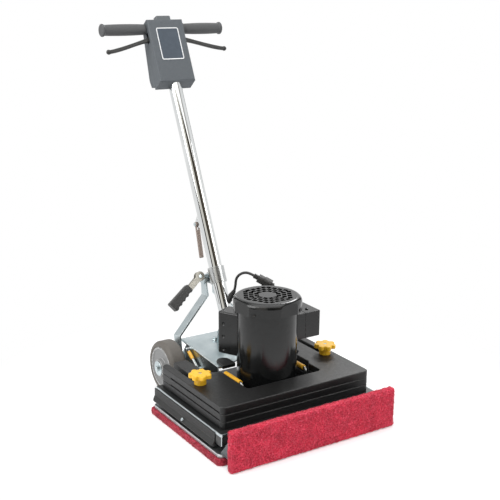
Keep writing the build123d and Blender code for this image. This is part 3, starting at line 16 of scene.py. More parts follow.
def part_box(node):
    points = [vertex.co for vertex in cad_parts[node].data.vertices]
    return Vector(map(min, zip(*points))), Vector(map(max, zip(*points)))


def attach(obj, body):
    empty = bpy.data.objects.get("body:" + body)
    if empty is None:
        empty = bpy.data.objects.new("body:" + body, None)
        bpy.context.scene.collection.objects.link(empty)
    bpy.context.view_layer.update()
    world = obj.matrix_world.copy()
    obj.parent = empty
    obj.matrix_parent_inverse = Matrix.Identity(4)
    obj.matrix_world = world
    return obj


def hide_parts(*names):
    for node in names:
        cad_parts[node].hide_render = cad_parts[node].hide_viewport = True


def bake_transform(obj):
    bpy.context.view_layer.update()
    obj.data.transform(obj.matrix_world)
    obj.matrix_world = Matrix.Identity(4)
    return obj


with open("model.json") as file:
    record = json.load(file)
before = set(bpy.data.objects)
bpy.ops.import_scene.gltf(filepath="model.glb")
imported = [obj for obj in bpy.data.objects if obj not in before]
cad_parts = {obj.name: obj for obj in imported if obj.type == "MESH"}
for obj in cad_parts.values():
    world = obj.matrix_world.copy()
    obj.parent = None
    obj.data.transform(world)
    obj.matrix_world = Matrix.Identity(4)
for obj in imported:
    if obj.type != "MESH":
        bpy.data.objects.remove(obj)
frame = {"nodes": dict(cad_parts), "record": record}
nodes = frame["nodes"]
body_of_node = {n: body for body, names in frame["record"]["behaviour"]["bodies"].items() for n in names}
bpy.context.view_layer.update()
scene = bpy.context.scene
scene.view_settings.view_transform = "Standard"

# %% [markdown]
# ## Where the photograph was taken from
# The camera's place was solved from edges of known size, so the render lines up with the photograph.
# A long lens at about two and a half metres keeps the sides of the machine nearly parallel.

# %% Camera
azimuth = math.radians(-32.80)
pitch = math.radians(15.56)
roll = math.radians(0.48)
camera_place = Vector((-1.3296, -1.9763, 1.1253))
camera_lens = 69.04
level = Vector((math.cos(azimuth), math.sin(azimuth), 0))
ahead = Vector((-math.sin(azimuth), math.cos(azimuth), 0))
forward = ahead * math.cos(pitch) - Vector((0, 0, math.sin(pitch)))
rise = level.cross(forward)
across = level * math.cos(roll) + rise * math.sin(roll)
upward = rise * math.cos(roll) - level * math.sin(roll)
camera = bpy.data.objects.new("camera", bpy.data.cameras.new("camera"))
camera.data.lens = camera_lens
camera.data.sensor_width = 36
turned = Matrix((across, upward, -forward)).transposed().to_4x4()
camera.matrix_world = Matrix.Translation(camera_place) @ turned
scene.collection.objects.link(camera)
scene.camera = camera
print("camera", [round(v, 3) for v in camera_place])

# %% [markdown]
# ## Helpers for materials
# Every finish is a small tree of nodes. One function adds a node with its settings and links, and one
# turns an sRGB hex colour, as it is read from a picture, into the linear colour that light adds up in.

# %% Helpers for materials
MM = 0.001
COLOURS = {"data_type": "RGBA"}
TIMES = {"operation": "MULTIPLY"}
LARGER = {"operation": "MAXIMUM"}


def linear(hex_colour):
    """sRGB hex to linear RGBA."""
    values = [int(hex_colour[i:i + 2], 16) / 255 for i in (0, 2, 4)]
    return [v / 12.92 if v <= 0.04045 else ((v + 0.055) / 1.055) ** 2.4 for v in values] + [1.0]


def add(tree, kind, settings=None, **inputs):
    """Add a node. Settings are its own properties, and inputs are values or sockets to link."""
    node = tree.nodes.new(kind)
    for name, value in (settings or {}).items():
        setattr(node, name, value)
    for name, value in inputs.items():
        socket = node.inputs[int(name[1:])] if name[0] == "_" else node.inputs[name.replace("_", " ")]
        if isinstance(value, bpy.types.NodeSocket):
            tree.links.new(value, socket)
        else:
            socket.default_value = value
    return node


def blank(name):
    """A new material with an empty tree."""
    material = bpy.data.materials.new(name)
    material.use_nodes = True
    material.node_tree.nodes.clear()
    return material, material.node_tree


def close(tree, surface):
    """Link a shader to the material's output."""
    out = add(tree, "ShaderNodeOutputMaterial")
    tree.links.new(surface, out.inputs["Surface"])


# %% [markdown]
# ## One pattern for most finishes
# A real surface is never one colour. Paint lies thicker and thinner, plastic flows in its mould and
# plating clouds, so a soft noise at the size of that clouding moves the colour and the roughness
# together. A second, finer noise is the grain that bends the highlights. Bevelled edges carry an
# attribute called edge, and patches of a lighter edge colour go there: partly paint thinned and plastic
# polished by wear, partly a painted highlight along the edges.


# %% Clouded finish
WEAR_AND_HIGHLIGHT_MM = 6
THIN, THICK = 0.3, 0.7
EDGE_PLAIN_BELOW, EDGE_LIGHT_ABOVE = 0.35, 0.6


def finish(name, colour, other, cloud_mm, rough, rough_other, grain_mm=0.0, grain=0.0, stretch=(1, 1, 1),
           edge=None, edge_rough=0.3, **shader):
    """A surface that wanders between two colours and two roughnesses, with a fine grain and edges made
    lighter in patches, as wear and as painted highlight.
    """
    material, tree = blank(name)
    place = add(tree, "ShaderNodeTexCoord").outputs["Object"]
    lay = add(tree, "ShaderNodeMapping", Vector=place, Scale=stretch).outputs[0]
    cloud = add(tree, "ShaderNodeTexNoise", Vector=lay, Scale=1 / (cloud_mm * MM), Detail=4.0, Roughness=0.6)
    depth = add(tree, "ShaderNodeMapRange", Value=cloud.outputs["Fac"], From_Min=THIN, From_Max=THICK)
    tint = add(tree, "ShaderNodeMix", COLOURS, _0=depth.outputs[0], _6=linear(colour),
               _7=linear(other)).outputs[2]
    dull = add(tree, "ShaderNodeMapRange", Value=cloud.outputs["Fac"], From_Min=THIN, From_Max=THICK,
               To_Min=rough, To_Max=rough_other).outputs[0]
    # Edge colour: patches of a lighter colour on the bevels, partly wear and partly painted highlight.
    if edge:
        rim = add(tree, "ShaderNodeAttribute", {"attribute_name": "edge"}).outputs["Fac"]
        wear = add(tree, "ShaderNodeTexNoise", Vector=place, Scale=1 / (WEAR_AND_HIGHLIGHT_MM * MM), Detail=3.0)
        worn = add(tree, "ShaderNodeMapRange", Value=wear.outputs["Fac"], From_Min=EDGE_PLAIN_BELOW,
                   From_Max=EDGE_LIGHT_ABOVE).outputs[0]
        share = add(tree, "ShaderNodeMath", TIMES, _0=rim, _1=worn).outputs[0]
        tint = add(tree, "ShaderNodeMix", COLOURS, _0=share, _6=tint, _7=linear(edge)).outputs[2]
        dull = add(tree, "ShaderNodeMix", _0=share, _2=dull, _3=edge_rough).outputs[0]
    body = add(tree, "ShaderNodeBsdfPrincipled", Base_Color=tint, Roughness=dull, **shader)
    if grain:
        fine = add(tree, "ShaderNodeTexNoise", Vector=lay, Scale=1 / (grain_mm * MM), Detail=2.0)
        relief = add(tree, "ShaderNodeBump", Height=fine.outputs["Fac"], Strength=grain,
                     Distance=grain_mm * MM)
        tree.links.new(relief.outputs[0], body.inputs["Normal"])
    close(tree, body.outputs[0])
    return material


# %% [markdown]
# ## Metals
# Zinc plating is a pale blue-white metal with slow clouds in it and a soft reflection. The bracket under
# the strip pad is the same zinc, rougher, and painted darker as painted shade for the shadow it sits in.
# Chromium over a polished tube is nearly a mirror. Turned bright steel sits between the two. The cam lever
# is a warm grey zinc casting with a tumbled skin, the driver is a cast aluminium plate, and the motor's
# inside is bare machined iron.

# %% Metals
# The zinc's pale edge colour E6EBEB is a painted highlight on its bevelled edges, such as the deck's rolled
# side, as well as wear.
zinc = finish("zinc_plated_sheet_steel", "C4CDCF", "B4BFC2", 34, 0.26, 0.36, 1.4, 0.012, edge="E6EBEB",
              edge_rough=0.2, Metallic=1.0)
bright = finish("turned_bright_steel", "C6C8C8", "B4B6B6", 12, 0.22, 0.34, Metallic=1.0)
chrome = finish("chromed_steel_tube", "DFE1E1", "D3D5D5", 30, 0.035, 0.07, stretch=(1, 1, 0.2),
                Metallic=1.0)
# Painted shade: the bracket's zinc colours are darkened for the shadow it sits in, and its light edge colour
# is a painted highlight.
shaded_dull_zinc = finish("dulled_zinc_plated_bracket", "6B7274", "575D5F", 14, 0.36, 0.48, 1.4, 0.02,
                   edge="DDE3E4", edge_rough=0.2, Metallic=1.0)
casting = finish("tumbled_zinc_casting", "B2AFA6", "A7A49B", 20, 0.42, 0.5, Metallic=1.0)
alloy = finish("cast_aluminium_plate", "C2C5C6", "A6AAAC", 7, 0.3, 0.44, 1.5, 0.1, edge="DADCDC",
               Metallic=1.0)
rod_steel = finish("cold_drawn_rod_steel", "A2A4A3", "8E908F", 12, 0.3, 0.42, Metallic=1.0)
iron = finish("machined_cast_iron", "6A6A68", "585856", 5, 0.45, 0.6, 1.0, 0.15, Metallic=1.0)
print("metals", [m.name for m in (zinc, bright, chrome, shaded_dull_zinc, casting, alloy, rod_steel, iron)])

# %% [markdown]
# ## Paints, plastics and rubbers
# The motor wears a wet-looking black enamel with a slight orange peel. The weight plates are powder
# coated: black too, but with a fine sandy grain that spreads the highlights. The housing is grey ABS from
# a spark-eroded mould, so it is evenly grained. Rubber and vinyl are matt and a little uneven, and the
# nylon knobs are smooth.

# %% Paints
enamel = finish("black_motor_enamel", "0E0F0F", "151616", 14, 0.13, 0.2, 2.2, 0.03, edge="232424")
# The plates' lighter edge colour is partly worn coating and partly a painted highlight along their edges.
powder = finish("black_powder_coated_steel", "141414", "1C1C1C", 9, 0.36, 0.48, 1.1, 0.14, edge="3A3A3A",
                Specular_IOR_Level=0.4)

# %% Plastics
abs_grey = finish("grained_grey_abs", "4B5055", "5F6468", 2.2, 0.48, 0.66, 1.3, 0.5, edge="6E7377")
button_grey = finish("satin_grey_abs", "575B5E", "63676A", 3, 0.4, 0.5, 1.2, 0.15, edge="767A7D")
black_nylon = finish("moulded_black_nylon", "262625", "31312F", 4, 0.36, 0.48, 1.0, 0.15, edge="3F3F3D")
# The hubs' light edge colour C4C4C3 paints a highlight on their rims and rings, along with wear.
hub_grey = finish("moulded_grey_nylon", "7C7C7C", "8A8A89", 5, 0.38, 0.48, 1.2, 0.06, edge="C4C4C3")
knob_yellow = finish("moulded_yellow_nylon", "F9C42F", "F2B822", 6, 0.3, 0.42, 1.5, 0.05, edge="FCD55F")
film = finish("slate_label_film", "3B4550", "424C57", 12, 0.32, 0.4, 0.8, 0.05)
ink = finish("white_printed_border", "EDEEEE", "E2E3E3", 4, 0.4, 0.5)

# %% Rubbers
grip_pvc = finish("moulded_grip_vinyl", "474849", "525354", 4, 0.5, 0.62, 1.0, 0.22, edge="616263")
bumper = finish("extruded_bumper_rubber", "191919", "232322", 6, 0.5, 0.64, 1.2, 0.12, edge="3C3C3A")
sleeve_yellow = finish("dipped_yellow_vinyl", "F0B52A", "E5A820", 5, 0.3, 0.42, 1.5, 0.06)
cord_rubber = finish("cord_rubber_jacket", "252524", "302F2E", 4, 0.42, 0.54, 0.8, 0.2)
strap = finish("taupe_rubber_strap", "84756C", "94857B", 5, 0.5, 0.66, 1.0, 0.2, edge="A4958B")
print("paints, plastics and rubbers made")

# %% [markdown]
# ## Tyre rubber
# A moulded tyre shows fine rings round its wall where the mould was turned, and its dull brown-grey skin
# is a little paler where it has rubbed. The rings are drawn round the axle with a wave texture, after a
# Mapping node has moved the pattern's centre to the axle.

# %% Tyre rubber
AXLE = (0.0, 0.264, 0.082)
SCUFF_MM = 7
RING_DEPTH = 0.4 * MM


def ringed(name, colour, other, rough, rough_other, pitch_mm, relief):
    """Rubber with turned rings about the axle."""
    material, tree = blank(name)
    place = add(tree, "ShaderNodeTexCoord").outputs["Object"]
    centred = add(tree, "ShaderNodeMapping", Vector=place, Location=[-v for v in AXLE]).outputs[0]
    rings = add(tree, "ShaderNodeTexWave", {"wave_type": "RINGS", "rings_direction": "X"}, Vector=centred,
                Scale=math.pi / (10 * pitch_mm * MM), Distortion=0.4).outputs["Fac"]
    cloud = add(tree, "ShaderNodeTexNoise", Vector=place, Scale=1 / (SCUFF_MM * MM),
                Detail=4.0).outputs["Fac"]
    tint = add(tree, "ShaderNodeMix", COLOURS, _0=cloud, _6=linear(colour), _7=linear(other))
    dull = add(tree, "ShaderNodeMapRange", Value=cloud, To_Min=rough, To_Max=rough_other)
    bump = add(tree, "ShaderNodeBump", Height=rings, Strength=relief, Distance=RING_DEPTH)
    body = add(tree, "ShaderNodeBsdfPrincipled", Base_Color=tint.outputs[2], Roughness=dull.outputs[0],
               Normal=bump.outputs[0])
    close(tree, body.outputs[0])
    return material


tyre = ringed("moulded_tyre_rubber", "58544F", "6B665F", 0.45, 0.6, pitch_mm=4.5, relief=0.2)
print("tyre rubber with its rings about", AXLE)

# %% [markdown]
# ## The pan's paint
# The pan is zinc plated sheet with black paint over it. Its upper rim is left bright, and that bright
# line runs all along the side of the machine. One material does both: it is plating on the outside of the
# rim and down its front corners, and paint everywhere else.

# %% Pan with a bright rim
RIM_FOOT = 0.0668
RIM_HALF = 0.2405
RIM_FRONT = -0.1665
PLATING_MM = 12


def painted_pan(name):
    """Zinc plating round the upper rim, and black paint elsewhere."""
    material, tree = blank(name)
    place = add(tree, "ShaderNodeTexCoord").outputs["Object"]
    spot = add(tree, "ShaderNodeSeparateXYZ", Vector=place)
    past = {"operation": "GREATER_THAN"}
    sideways = add(tree, "ShaderNodeMath", {"operation": "ABSOLUTE"}, _0=spot.outputs["X"]).outputs[0]
    beside = add(tree, "ShaderNodeMath", past, _0=sideways, _1=RIM_HALF).outputs[0]
    before = add(tree, "ShaderNodeMath", past, _0=RIM_FRONT, _1=spot.outputs["Y"]).outputs[0]
    outside = add(tree, "ShaderNodeMath", LARGER, _0=beside, _1=before).outputs[0]
    high = add(tree, "ShaderNodeMath", past, _0=spot.outputs["Z"], _1=RIM_FOOT).outputs[0]
    rim = add(tree, "ShaderNodeMath", TIMES, _0=outside, _1=high).outputs[0]
    corner = add(tree, "ShaderNodeMath", TIMES, _0=beside, _1=before).outputs[0]
    metal = add(tree, "ShaderNodeMath", LARGER, _0=rim, _1=corner).outputs[0]
    cloud = add(tree, "ShaderNodeTexNoise", Vector=place, Scale=1 / (PLATING_MM * MM),
                Detail=4.0).outputs["Fac"]
    plated = add(tree, "ShaderNodeMix", COLOURS, _0=cloud, _6=linear("C9D0D2"), _7=linear("A9B1B4"))
    black = add(tree, "ShaderNodeMix", COLOURS, _0=cloud, _6=linear("1C1D1D"), _7=linear("292A2A"))
    tint = add(tree, "ShaderNodeMix", COLOURS, _0=metal, _6=black.outputs[2], _7=plated.outputs[2])
    dull = add(tree, "ShaderNodeMapRange", Value=cloud, To_Min=0.26, To_Max=0.4)
    body = add(tree, "ShaderNodeBsdfPrincipled", Base_Color=tint.outputs[2], Metallic=metal,
               Roughness=dull.outputs[0])
    close(tree, body.outputs[0])
    return material


pan_finish = painted_pan("black_painted_pan_with_zinc_rim")
print("pan bright above", RIM_FOOT, "m")

# %% [markdown]
# ## Baking and Geometry Nodes
# A piece made by a modifier is turned into a plain mesh. The second helper runs a tree of Geometry Nodes
# on a piece: it sets each named input by the identifier of its socket, takes the evaluated shape, and
# removes the modifier.


# %% Baking helpers
def baked(source):
    """The evaluated shape of an object as a plain mesh."""
    depsgraph = bpy.context.evaluated_depsgraph_get()
    return bpy.data.meshes.new_from_object(source.evaluated_get(depsgraph))


def new_piece(name, mesh, material=None):
    """An object at the origin for a finished mesh."""
    piece = bpy.data.objects.new(name, mesh)
    scene.collection.objects.link(piece)
    if material:
        mesh.materials.append(material)
    return piece


def node_tree(name, sizes):
    """A Geometry Nodes tree with named inputs, and its input and output nodes."""
    tree = bpy.data.node_groups.new(name, "GeometryNodeTree")
    tree.interface.new_socket("Geometry", in_out="INPUT", socket_type="NodeSocketGeometry")
    for label, kind in sizes.items():
        tree.interface.new_socket(label, in_out="INPUT", socket_type="NodeSocket" + kind)
    tree.interface.new_socket("Geometry", in_out="OUTPUT", socket_type="NodeSocketGeometry")
    return tree, tree.nodes.new("NodeGroupInput"), tree.nodes.new("NodeGroupOutput")


def run_tree(piece, tree, **values):
    """Run a tree on a piece with the given inputs, and keep the result as its mesh."""
    modifier = piece.modifiers.new(tree.name, "NODES")
    modifier.node_group = tree
    for item in tree.interface.items_tree:
        if item.in_out == "INPUT" and item.name.replace(" ", "_") in values:
            modifier[item.identifier] = values[item.name.replace(" ", "_")]
    mesh = baked(piece)
    piece.modifiers.remove(modifier)
    piece.data = mesh
    return piece


# %% [markdown]
# ## The cord
# A short rubber cord leaves the gland on the tube, rises over the motor's rear edge and drops into its
# plug. Its line is one smooth NURBS curve through the route's control points. The jacket is that curve
# with a round bevel, and the boot at the gland is a ribbed taper that keeps the cord from kinking.

# %% Cord line
CORD_RADIUS = 3.7 * MM
cord_route = ((14.6, 206.9, 275.8), (21.7, 201.0, 290.0), (19.4, 190.4, 310.6), (17.4, 184.4, 333.3),
              (23.1, 177.1, 346.1), (33.2, 168.4, 353.0), (44.3, 158.7, 352.4), (53.4, 149.3, 346.1))
line = bpy.data.curves.new("motor_cord_line", "CURVE")
line.dimensions = "3D"
spline = line.splines.new("NURBS")
spline.points.add(len(cord_route) - 1)
for point, place in zip(spline.points, cord_route):
    point.co = [v * MM for v in place] + [1]
spline.order_u = 3
spline.use_endpoint_u = True
line.resolution_u = 12
guide = bpy.data.objects.new("motor_cord_guide", line)
scene.collection.objects.link(guide)
cord_path = [v.co.copy() for v in baked(guide).vertices]

# %% Cord jacket
line.bevel_depth = CORD_RADIUS
line.bevel_resolution = 6
cord = new_piece("motor_cord_jacket", baked(guide), cord_rubber)
bpy.data.objects.remove(guide)
cord.data.shade_smooth()
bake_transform(cord)
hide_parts("motor_cord")


# %% Boot at the gland
def lathe_along(name, path, profile, material, sides=20):
    """A closed tube along a path. The profile lists distances along it and radii."""
    shape = bmesh.new()
    rings = []
    runs = [0.0]
    for a, b in zip(path, path[1:]):
        runs.append(runs[-1] + (b - a).length)
    normal = (path[1] - path[0]).orthogonal().normalized()
    for distance, radius in profile:
        i = max(k for k in range(len(path) - 1) if runs[k] <= distance)
        tangent = (path[i + 1] - path[i]).normalized()
        centre = path[i] + tangent * (distance - runs[i])
        normal = (normal - tangent * normal.dot(tangent)).normalized()
        other = tangent.cross(normal)
        rings.append([shape.verts.new(centre + radius * (normal * math.cos(t) + other * math.sin(t)))
                      for t in (2 * math.pi * k / sides for k in range(sides))])
    for a, b in zip(rings, rings[1:]):
        for k in range(sides):
            shape.faces.new((a[k], a[(k + 1) % sides], b[(k + 1) % sides], b[k]))
    shape.faces.new(rings[0][::-1])
    shape.faces.new(rings[-1])
    mesh = bpy.data.meshes.new(name)
    shape.to_mesh(mesh)
    shape.free()
    mesh.shade_smooth()
    mesh.set_sharp_from_angle(angle=math.radians(40))
    return new_piece(name, mesh, material)


BOOT_RIBS = 4
RIB_START = 3.0
RIB_PITCH = 4.4
RIB_WIDE = 8.6
RIB_DEPTH = 1.2
boot_profile = [(0.0, 8.4), (0.8, 9.0), (2.0, 9.0)]
for rib in range(BOOT_RIBS):
    at = RIB_START + RIB_PITCH * rib
    wide = RIB_WIDE - rib
    neck = wide - RIB_DEPTH
    boot_profile += [(at, neck), (at + 1.0, neck), (at + 1.3, wide), (at + 3.4, wide - 0.3)]
boot_profile += [(20.6, 4.6), (23.0, 4.2)]
boot = lathe_along("gland_boot", cord_path, [(d * MM, r * MM) for d, r in boot_profile], cord_rubber)
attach(boot, "handle")
print("boot", len(boot.data.polygons), "faces")

# %% [markdown]
# ## Edges and finishes for the hard parts
# CAD corners are perfectly sharp, and a sharp corner never catches the light. Each hard part is copied
# with its doubled points merged, and its sharp edges get a small bevel of the size a press, a casting or
# a tumbler leaves. The bevel's faces are marked, so that the finish can lighten there, as wear and as a
# painted highlight. Shading normals are weighted by face size, so that large flat faces stay flat up to
# their rounded edges, and the few shallow creases are kept crisp. The deck's long sides are bent down from
# one sheet, so they get a wider round. The copy stands for the CAD node and rides on the same body.

# %% A copy with softened edges
MERGE_WITHIN = 0.002 * MM
FLAT_DEGREES = 0.4


def merged_copy(node):
    """A CAD node's mesh with its doubled points merged and its flat faces joined."""
    shape = bmesh.new()
    shape.from_mesh(nodes[node].data)
    bmesh.ops.remove_doubles(shape, verts=shape.verts, dist=MERGE_WITHIN)
    bmesh.ops.dissolve_limit(shape, angle_limit=math.radians(FLAT_DEGREES), verts=shape.verts,
                             edges=shape.edges)
    return shape


SHARP_DEGREES = 28
SMOOTH_DEGREES = 38
CREASES = {"fan_cover": 13, "side_bumpers": 16}
BEND_MM = 4.5
BEND_LENGTH = 0.05
DECK_SIDE = 0.1105
DECK_LOW = 0.13


def on_deck_side(edge):
    """True for a long upper edge along the deck's side."""
    return edge.calc_length() > BEND_LENGTH and all(
        abs(v.co.x) > DECK_SIDE and v.co.z > DECK_LOW for v in edge.verts)


def dress(node, material, edge_mm):
    """Copy a CAD node, round its sharp edges and give it a finish."""
    shape = merged_copy(node)
    mark = shape.faces.layers.float.new("edge")
    sharp = [e for e in shape.edges
             if e.is_manifold and e.calc_face_angle(0) > math.radians(SHARP_DEGREES)]
    bends = [e for e in sharp if node == "rear_deck" and on_deck_side(e)]
    ends = {v for e in bends for v in e.verts}
    plain = [e for e in sharp if not ends.intersection(e.verts)]
    for group, size_mm, steps, clamp in ((plain, edge_mm, 2, True), (bends, BEND_MM, 4, False)):
        if group or clamp:
            rounded = bmesh.ops.bevel(shape, geom=group, offset=size_mm * MM, offset_type="OFFSET",
                                      segments=steps, profile=0.5, affect="EDGES", clamp_overlap=clamp)
            for face in rounded["faces"]:
                face[mark] = 1.0
    mesh = bpy.data.meshes.new(node + "_dressed")
    shape.to_mesh(mesh)
    shape.free()
    mesh.shade_smooth()
    mesh.set_sharp_from_angle(angle=math.radians(CREASES.get(node, SMOOTH_DEGREES)))
    piece = new_piece(node + "_dressed", mesh, material)
    weighted = piece.modifiers.new("flat_faces", "WEIGHTED_NORMAL")
    weighted.keep_sharp = True
    piece.data = baked(piece)
    piece.modifiers.remove(weighted)
    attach(piece, body_of_node[node])
    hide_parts(node)
    return piece


# %% Dress the hard parts
edges = {
    zinc: (("rear_deck", 0.8), ("base_fasteners", 0.5), ("clamp_bolts", 0.5), ("left_yoke_leg", 0.8),
           ("right_yoke_leg", 0.8), ("handle_fasteners", 0.4)),
    shaded_dull_zinc: (("front_bracket", 0.6),),
    casting: (("cam_lever", 0.9),),
    pan_finish: (("base_pan", 1.0),),
    bright: (("axle", 0.5), ("tube_collar", 0.6), ("driver_bearing", 0.5), ("motor_bearings", 0.5)),
    rod_steel: (("sleeved_rods", 0.4),),
    chrome: (("handle_tube", 0.4), ("handlebar", 0.4)),
    alloy: (("driver_plate", 1.2),),
    iron: (("rotor", 0.5), ("stator", 0.5), ("eccentric", 0.6)),
    enamel: (("motor_flange", 0.8), ("motor_frame", 0.8), ("top_bell", 0.6), ("fan_cover", 0.5),
             ("capacitor_cover", 0.6), ("conduit_box", 1.2), ("conduit_lid", 1.4)),
    powder: (("weight_plate_lower", 0.7), ("weight_plate_middle", 0.7), ("weight_plate_upper", 0.7)),
    abs_grey: (("housing_front", 1.0), ("housing_rear", 1.0)),
    button_grey: (("interlock_button", 0.6),),
    grip_pvc: (("left_grip", 0.5), ("right_grip", 0.5)),
    black_nylon: (("left_trigger", 0.6), ("right_trigger", 0.6), ("start_switch", 0.5), ("mains_inlet", 0.5),
                  ("cord_gland", 0.5), ("lever_grip", 0.7), ("cooling_fan", 0.3)),
    bumper: (("side_bumpers", 0.8), ("deck_pucks", 0.6), ("isolators", 0.5)),
    tyre: (("left_tyre", 0.8), ("right_tyre", 0.8)),
    hub_grey: (("left_hub", 1.0), ("right_hub", 1.0)),
    knob_yellow: (("left_knob", 0.8), ("right_knob", 0.8)),
    sleeve_yellow: (("rod_sleeves", 0.6),),
    strap: (("cord_hook", 0.8),),
    cord_rubber: (("cord_plug", 0.6), ("socket_lead", 0.5)),
    film: (("label_panel", 0.3),),
}
for material, group in edges.items():
    for node, edge_mm in group:
        dress(node, material, edge_mm)

# %% [markdown]
# ## The label's border
# The label is a flat film on the housing's sloping face with a white line printed round it. The line is a
# thin raised ring here, because print on such film stands a hair proud. It is drawn in the face's own
# directions: across the handle and along its tube.

# %% Label border
LEAN = math.radians(25)
PIVOT = Vector((0, 0.189, 0.182))
TUBE_UP = Vector((0, math.sin(LEAN), math.cos(LEAN)))
TUBE_FORE = Vector((0, -math.cos(LEAN), math.sin(LEAN)))
LABEL_FACE = 27 * MM
LABEL_MIDDLE = 841.5 * MM
BORDER_OUTER = (71.4 * MM, 96.4 * MM, 5.7 * MM)
BORDER_INNER = (65.6 * MM, 90.6 * MM, 2.8 * MM)
INK_LIFT = 0.2 * MM


def rounded_loop(width, height, corner, steps=6):
    """Points round a rectangle with rounded corners."""
    points = []
    for k, (sx, sy) in enumerate(((1, 1), (-1, 1), (-1, -1), (1, -1))):
        for step in range(steps + 1):
            turn = math.radians(90 * (k + step / steps))
            points.append((sx * (width / 2 - corner) + corner * math.cos(turn),
                           sy * (height / 2 - corner) + corner * math.sin(turn)))
    return points


def label_point(x, s, lift):
    """A place on the label, across it, along it and above it."""
    return PIVOT + Vector((x, 0, 0)) + TUBE_UP * (LABEL_MIDDLE + s) + TUBE_FORE * (LABEL_FACE + lift)


shape = bmesh.new()
outer = rounded_loop(*BORDER_OUTER)
inner = rounded_loop(*BORDER_INNER)
loops = [[shape.verts.new(label_point(x, s, lift)) for x, s in ring]
         for ring, lift in ((outer, -INK_LIFT), (outer, INK_LIFT), (inner, INK_LIFT), (inner, -INK_LIFT))]
for a, b in zip(loops, loops[1:] + loops[:1]):
    for k in range(len(a)):
        shape.faces.new((a[k], a[(k + 1) % len(a)], b[(k + 1) % len(a)], b[k]))
bmesh.ops.recalc_face_normals(shape, faces=shape.faces)
mesh = bpy.data.meshes.new("label_border")
shape.to_mesh(mesh)
shape.free()
border = new_piece("label_border", mesh, ink)
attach(border, "handle")
print("label border", len(mesh.polygons), "faces")

# %% [markdown]
# ## Screws on the motor
# Nine fasteners show on the motor: four slotted screws round the fan cover, one on the conduit lid and
# four hexagon bolts on the flange. One head of each kind is made once, and Geometry Nodes put it at every
# place, turned to face outwards.

# %% Screw heads
DOMED = ((0.0, 1.0), (0.62, 1.0), (0.88, 0.9), (1.0, 0.66))
CHAMFERED = ((0.0, 1.0), (0.86, 1.0), (1.0, 0.86))
SLOT_EDGE = 0.12
SLOT_WIDE = 0.3
SLOT_DEEP = 0.35
HEAD_CREASE_DEGREES = 30


def head_mesh(name, radius, height, sides, slot):
    """A domed screw head with a slot, or a hexagon bolt head with a chamfered top."""
    shape = bmesh.new()
    rings = [[shape.verts.new((radius * share * math.cos(2 * math.pi * k / sides),
                               radius * share * math.sin(2 * math.pi * k / sides), height * up))
              for k in range(sides)] for up, share in (DOMED if slot else CHAMFERED)]
    for a, b in zip(rings, rings[1:]):
        for k in range(sides):
            shape.faces.new((a[k], a[(k + 1) % sides], b[(k + 1) % sides], b[k]))
    shape.faces.new(rings[0][::-1])
    top = shape.faces.new(rings[-1])
    if slot:
        bmesh.ops.inset_region(shape, faces=[top], thickness=radius * SLOT_EDGE, use_even_offset=True)
        bmesh.ops.translate(shape, verts=top.verts, vec=(0, 0, -SLOT_DEEP * height))
        bmesh.ops.scale(shape, verts=top.verts, vec=(SLOT_WIDE, 1.0, 1.0))
    mesh = bpy.data.meshes.new(name)
    shape.to_mesh(mesh)
    shape.free()
    return bpy.data.objects.new(name, mesh)


def placed_heads():
    """A tree that puts a head on each point, turned to the point's facing direction."""
    tree, start, end = node_tree("fastener_heads", {"Head": "Object", "Finish": "Material"})
    head = add(tree, "GeometryNodeObjectInfo", Object=start.outputs["Head"])
    facing = add(tree, "GeometryNodeInputNamedAttribute", {"data_type": "FLOAT_VECTOR"}, Name="facing")
    turn = add(tree, "FunctionNodeAlignRotationToVector", {"axis": "Z"}, Vector=facing.outputs[0])
    put = add(tree, "GeometryNodeInstanceOnPoints", Points=start.outputs["Geometry"],
              Instance=head.outputs["Geometry"], Rotation=turn.outputs[0])
    solid = add(tree, "GeometryNodeRealizeInstances", Geometry=put.outputs[0])
    painted = add(tree, "GeometryNodeSetMaterial", Geometry=solid.outputs[0],
                  Material=start.outputs["Finish"])
    tree.links.new(painted.outputs[0], end.inputs[0])
    return tree


def heads_at(name, places, head, tree):
    """The heads at a list of places and directions, as one piece."""
    mesh = bpy.data.meshes.new(name + "_places")
    mesh.from_pydata([p for p, d in places], [], [])
    facing = mesh.attributes.new("facing", "FLOAT_VECTOR", "POINT")
    for item, (p, d) in zip(facing.data, places):
        item.vector = d
    piece = new_piece(name, mesh)
    run_tree(piece, tree, Head=head, Finish=enamel)
    piece.data.shade_smooth()
    piece.data.set_sharp_from_angle(angle=math.radians(HEAD_CREASE_DEGREES))
    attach(piece, "base")
    return piece


# %% Screws and bolts in place
UP = Vector((0, 0, 1))
COVER_R = 0.091
COVER_TURNS = (34, 124, 214, 304)
SCREW_SUNK = 0.8 * MM
SCREW_HEIGHT = 0.312
LID_SCREW = Vector((0.127, 0, 0.279))
FLANGE_TOP = 0.088
FLANGE_BOLT_R = 0.088
FLANGE_TURNS = (35, 145, 215, 325)


def outward(degrees):
    """The level direction at a turn about the motor's axis."""
    turn = math.radians(degrees)
    return Vector((math.cos(turn), math.sin(turn), 0))


screw_places = [(outward(turn) * (COVER_R - SCREW_SUNK) + UP * SCREW_HEIGHT, outward(turn))
                for turn in COVER_TURNS] + [(LID_SCREW, UP)]
bolt_places = [(outward(turn) * FLANGE_BOLT_R + UP * FLANGE_TOP, UP) for turn in FLANGE_TURNS]
tree = placed_heads()
slotted = head_mesh("slotted_head", radius=4.5 * MM, height=2.9 * MM, sides=20, slot=True)
hexagon = head_mesh("hexagon_head", radius=5.5 * MM, height=5.0 * MM, sides=6, slot=False)
screws = heads_at("motor_slotted_screws", screw_places, slotted, tree)
bolts = heads_at("flange_hexagon_bolts", bolt_places, hexagon, tree)
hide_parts("motor_screws")
for head in (slotted, hexagon):
    bpy.data.objects.remove(head)
print("fasteners", len(screw_places) + len(bolt_places))

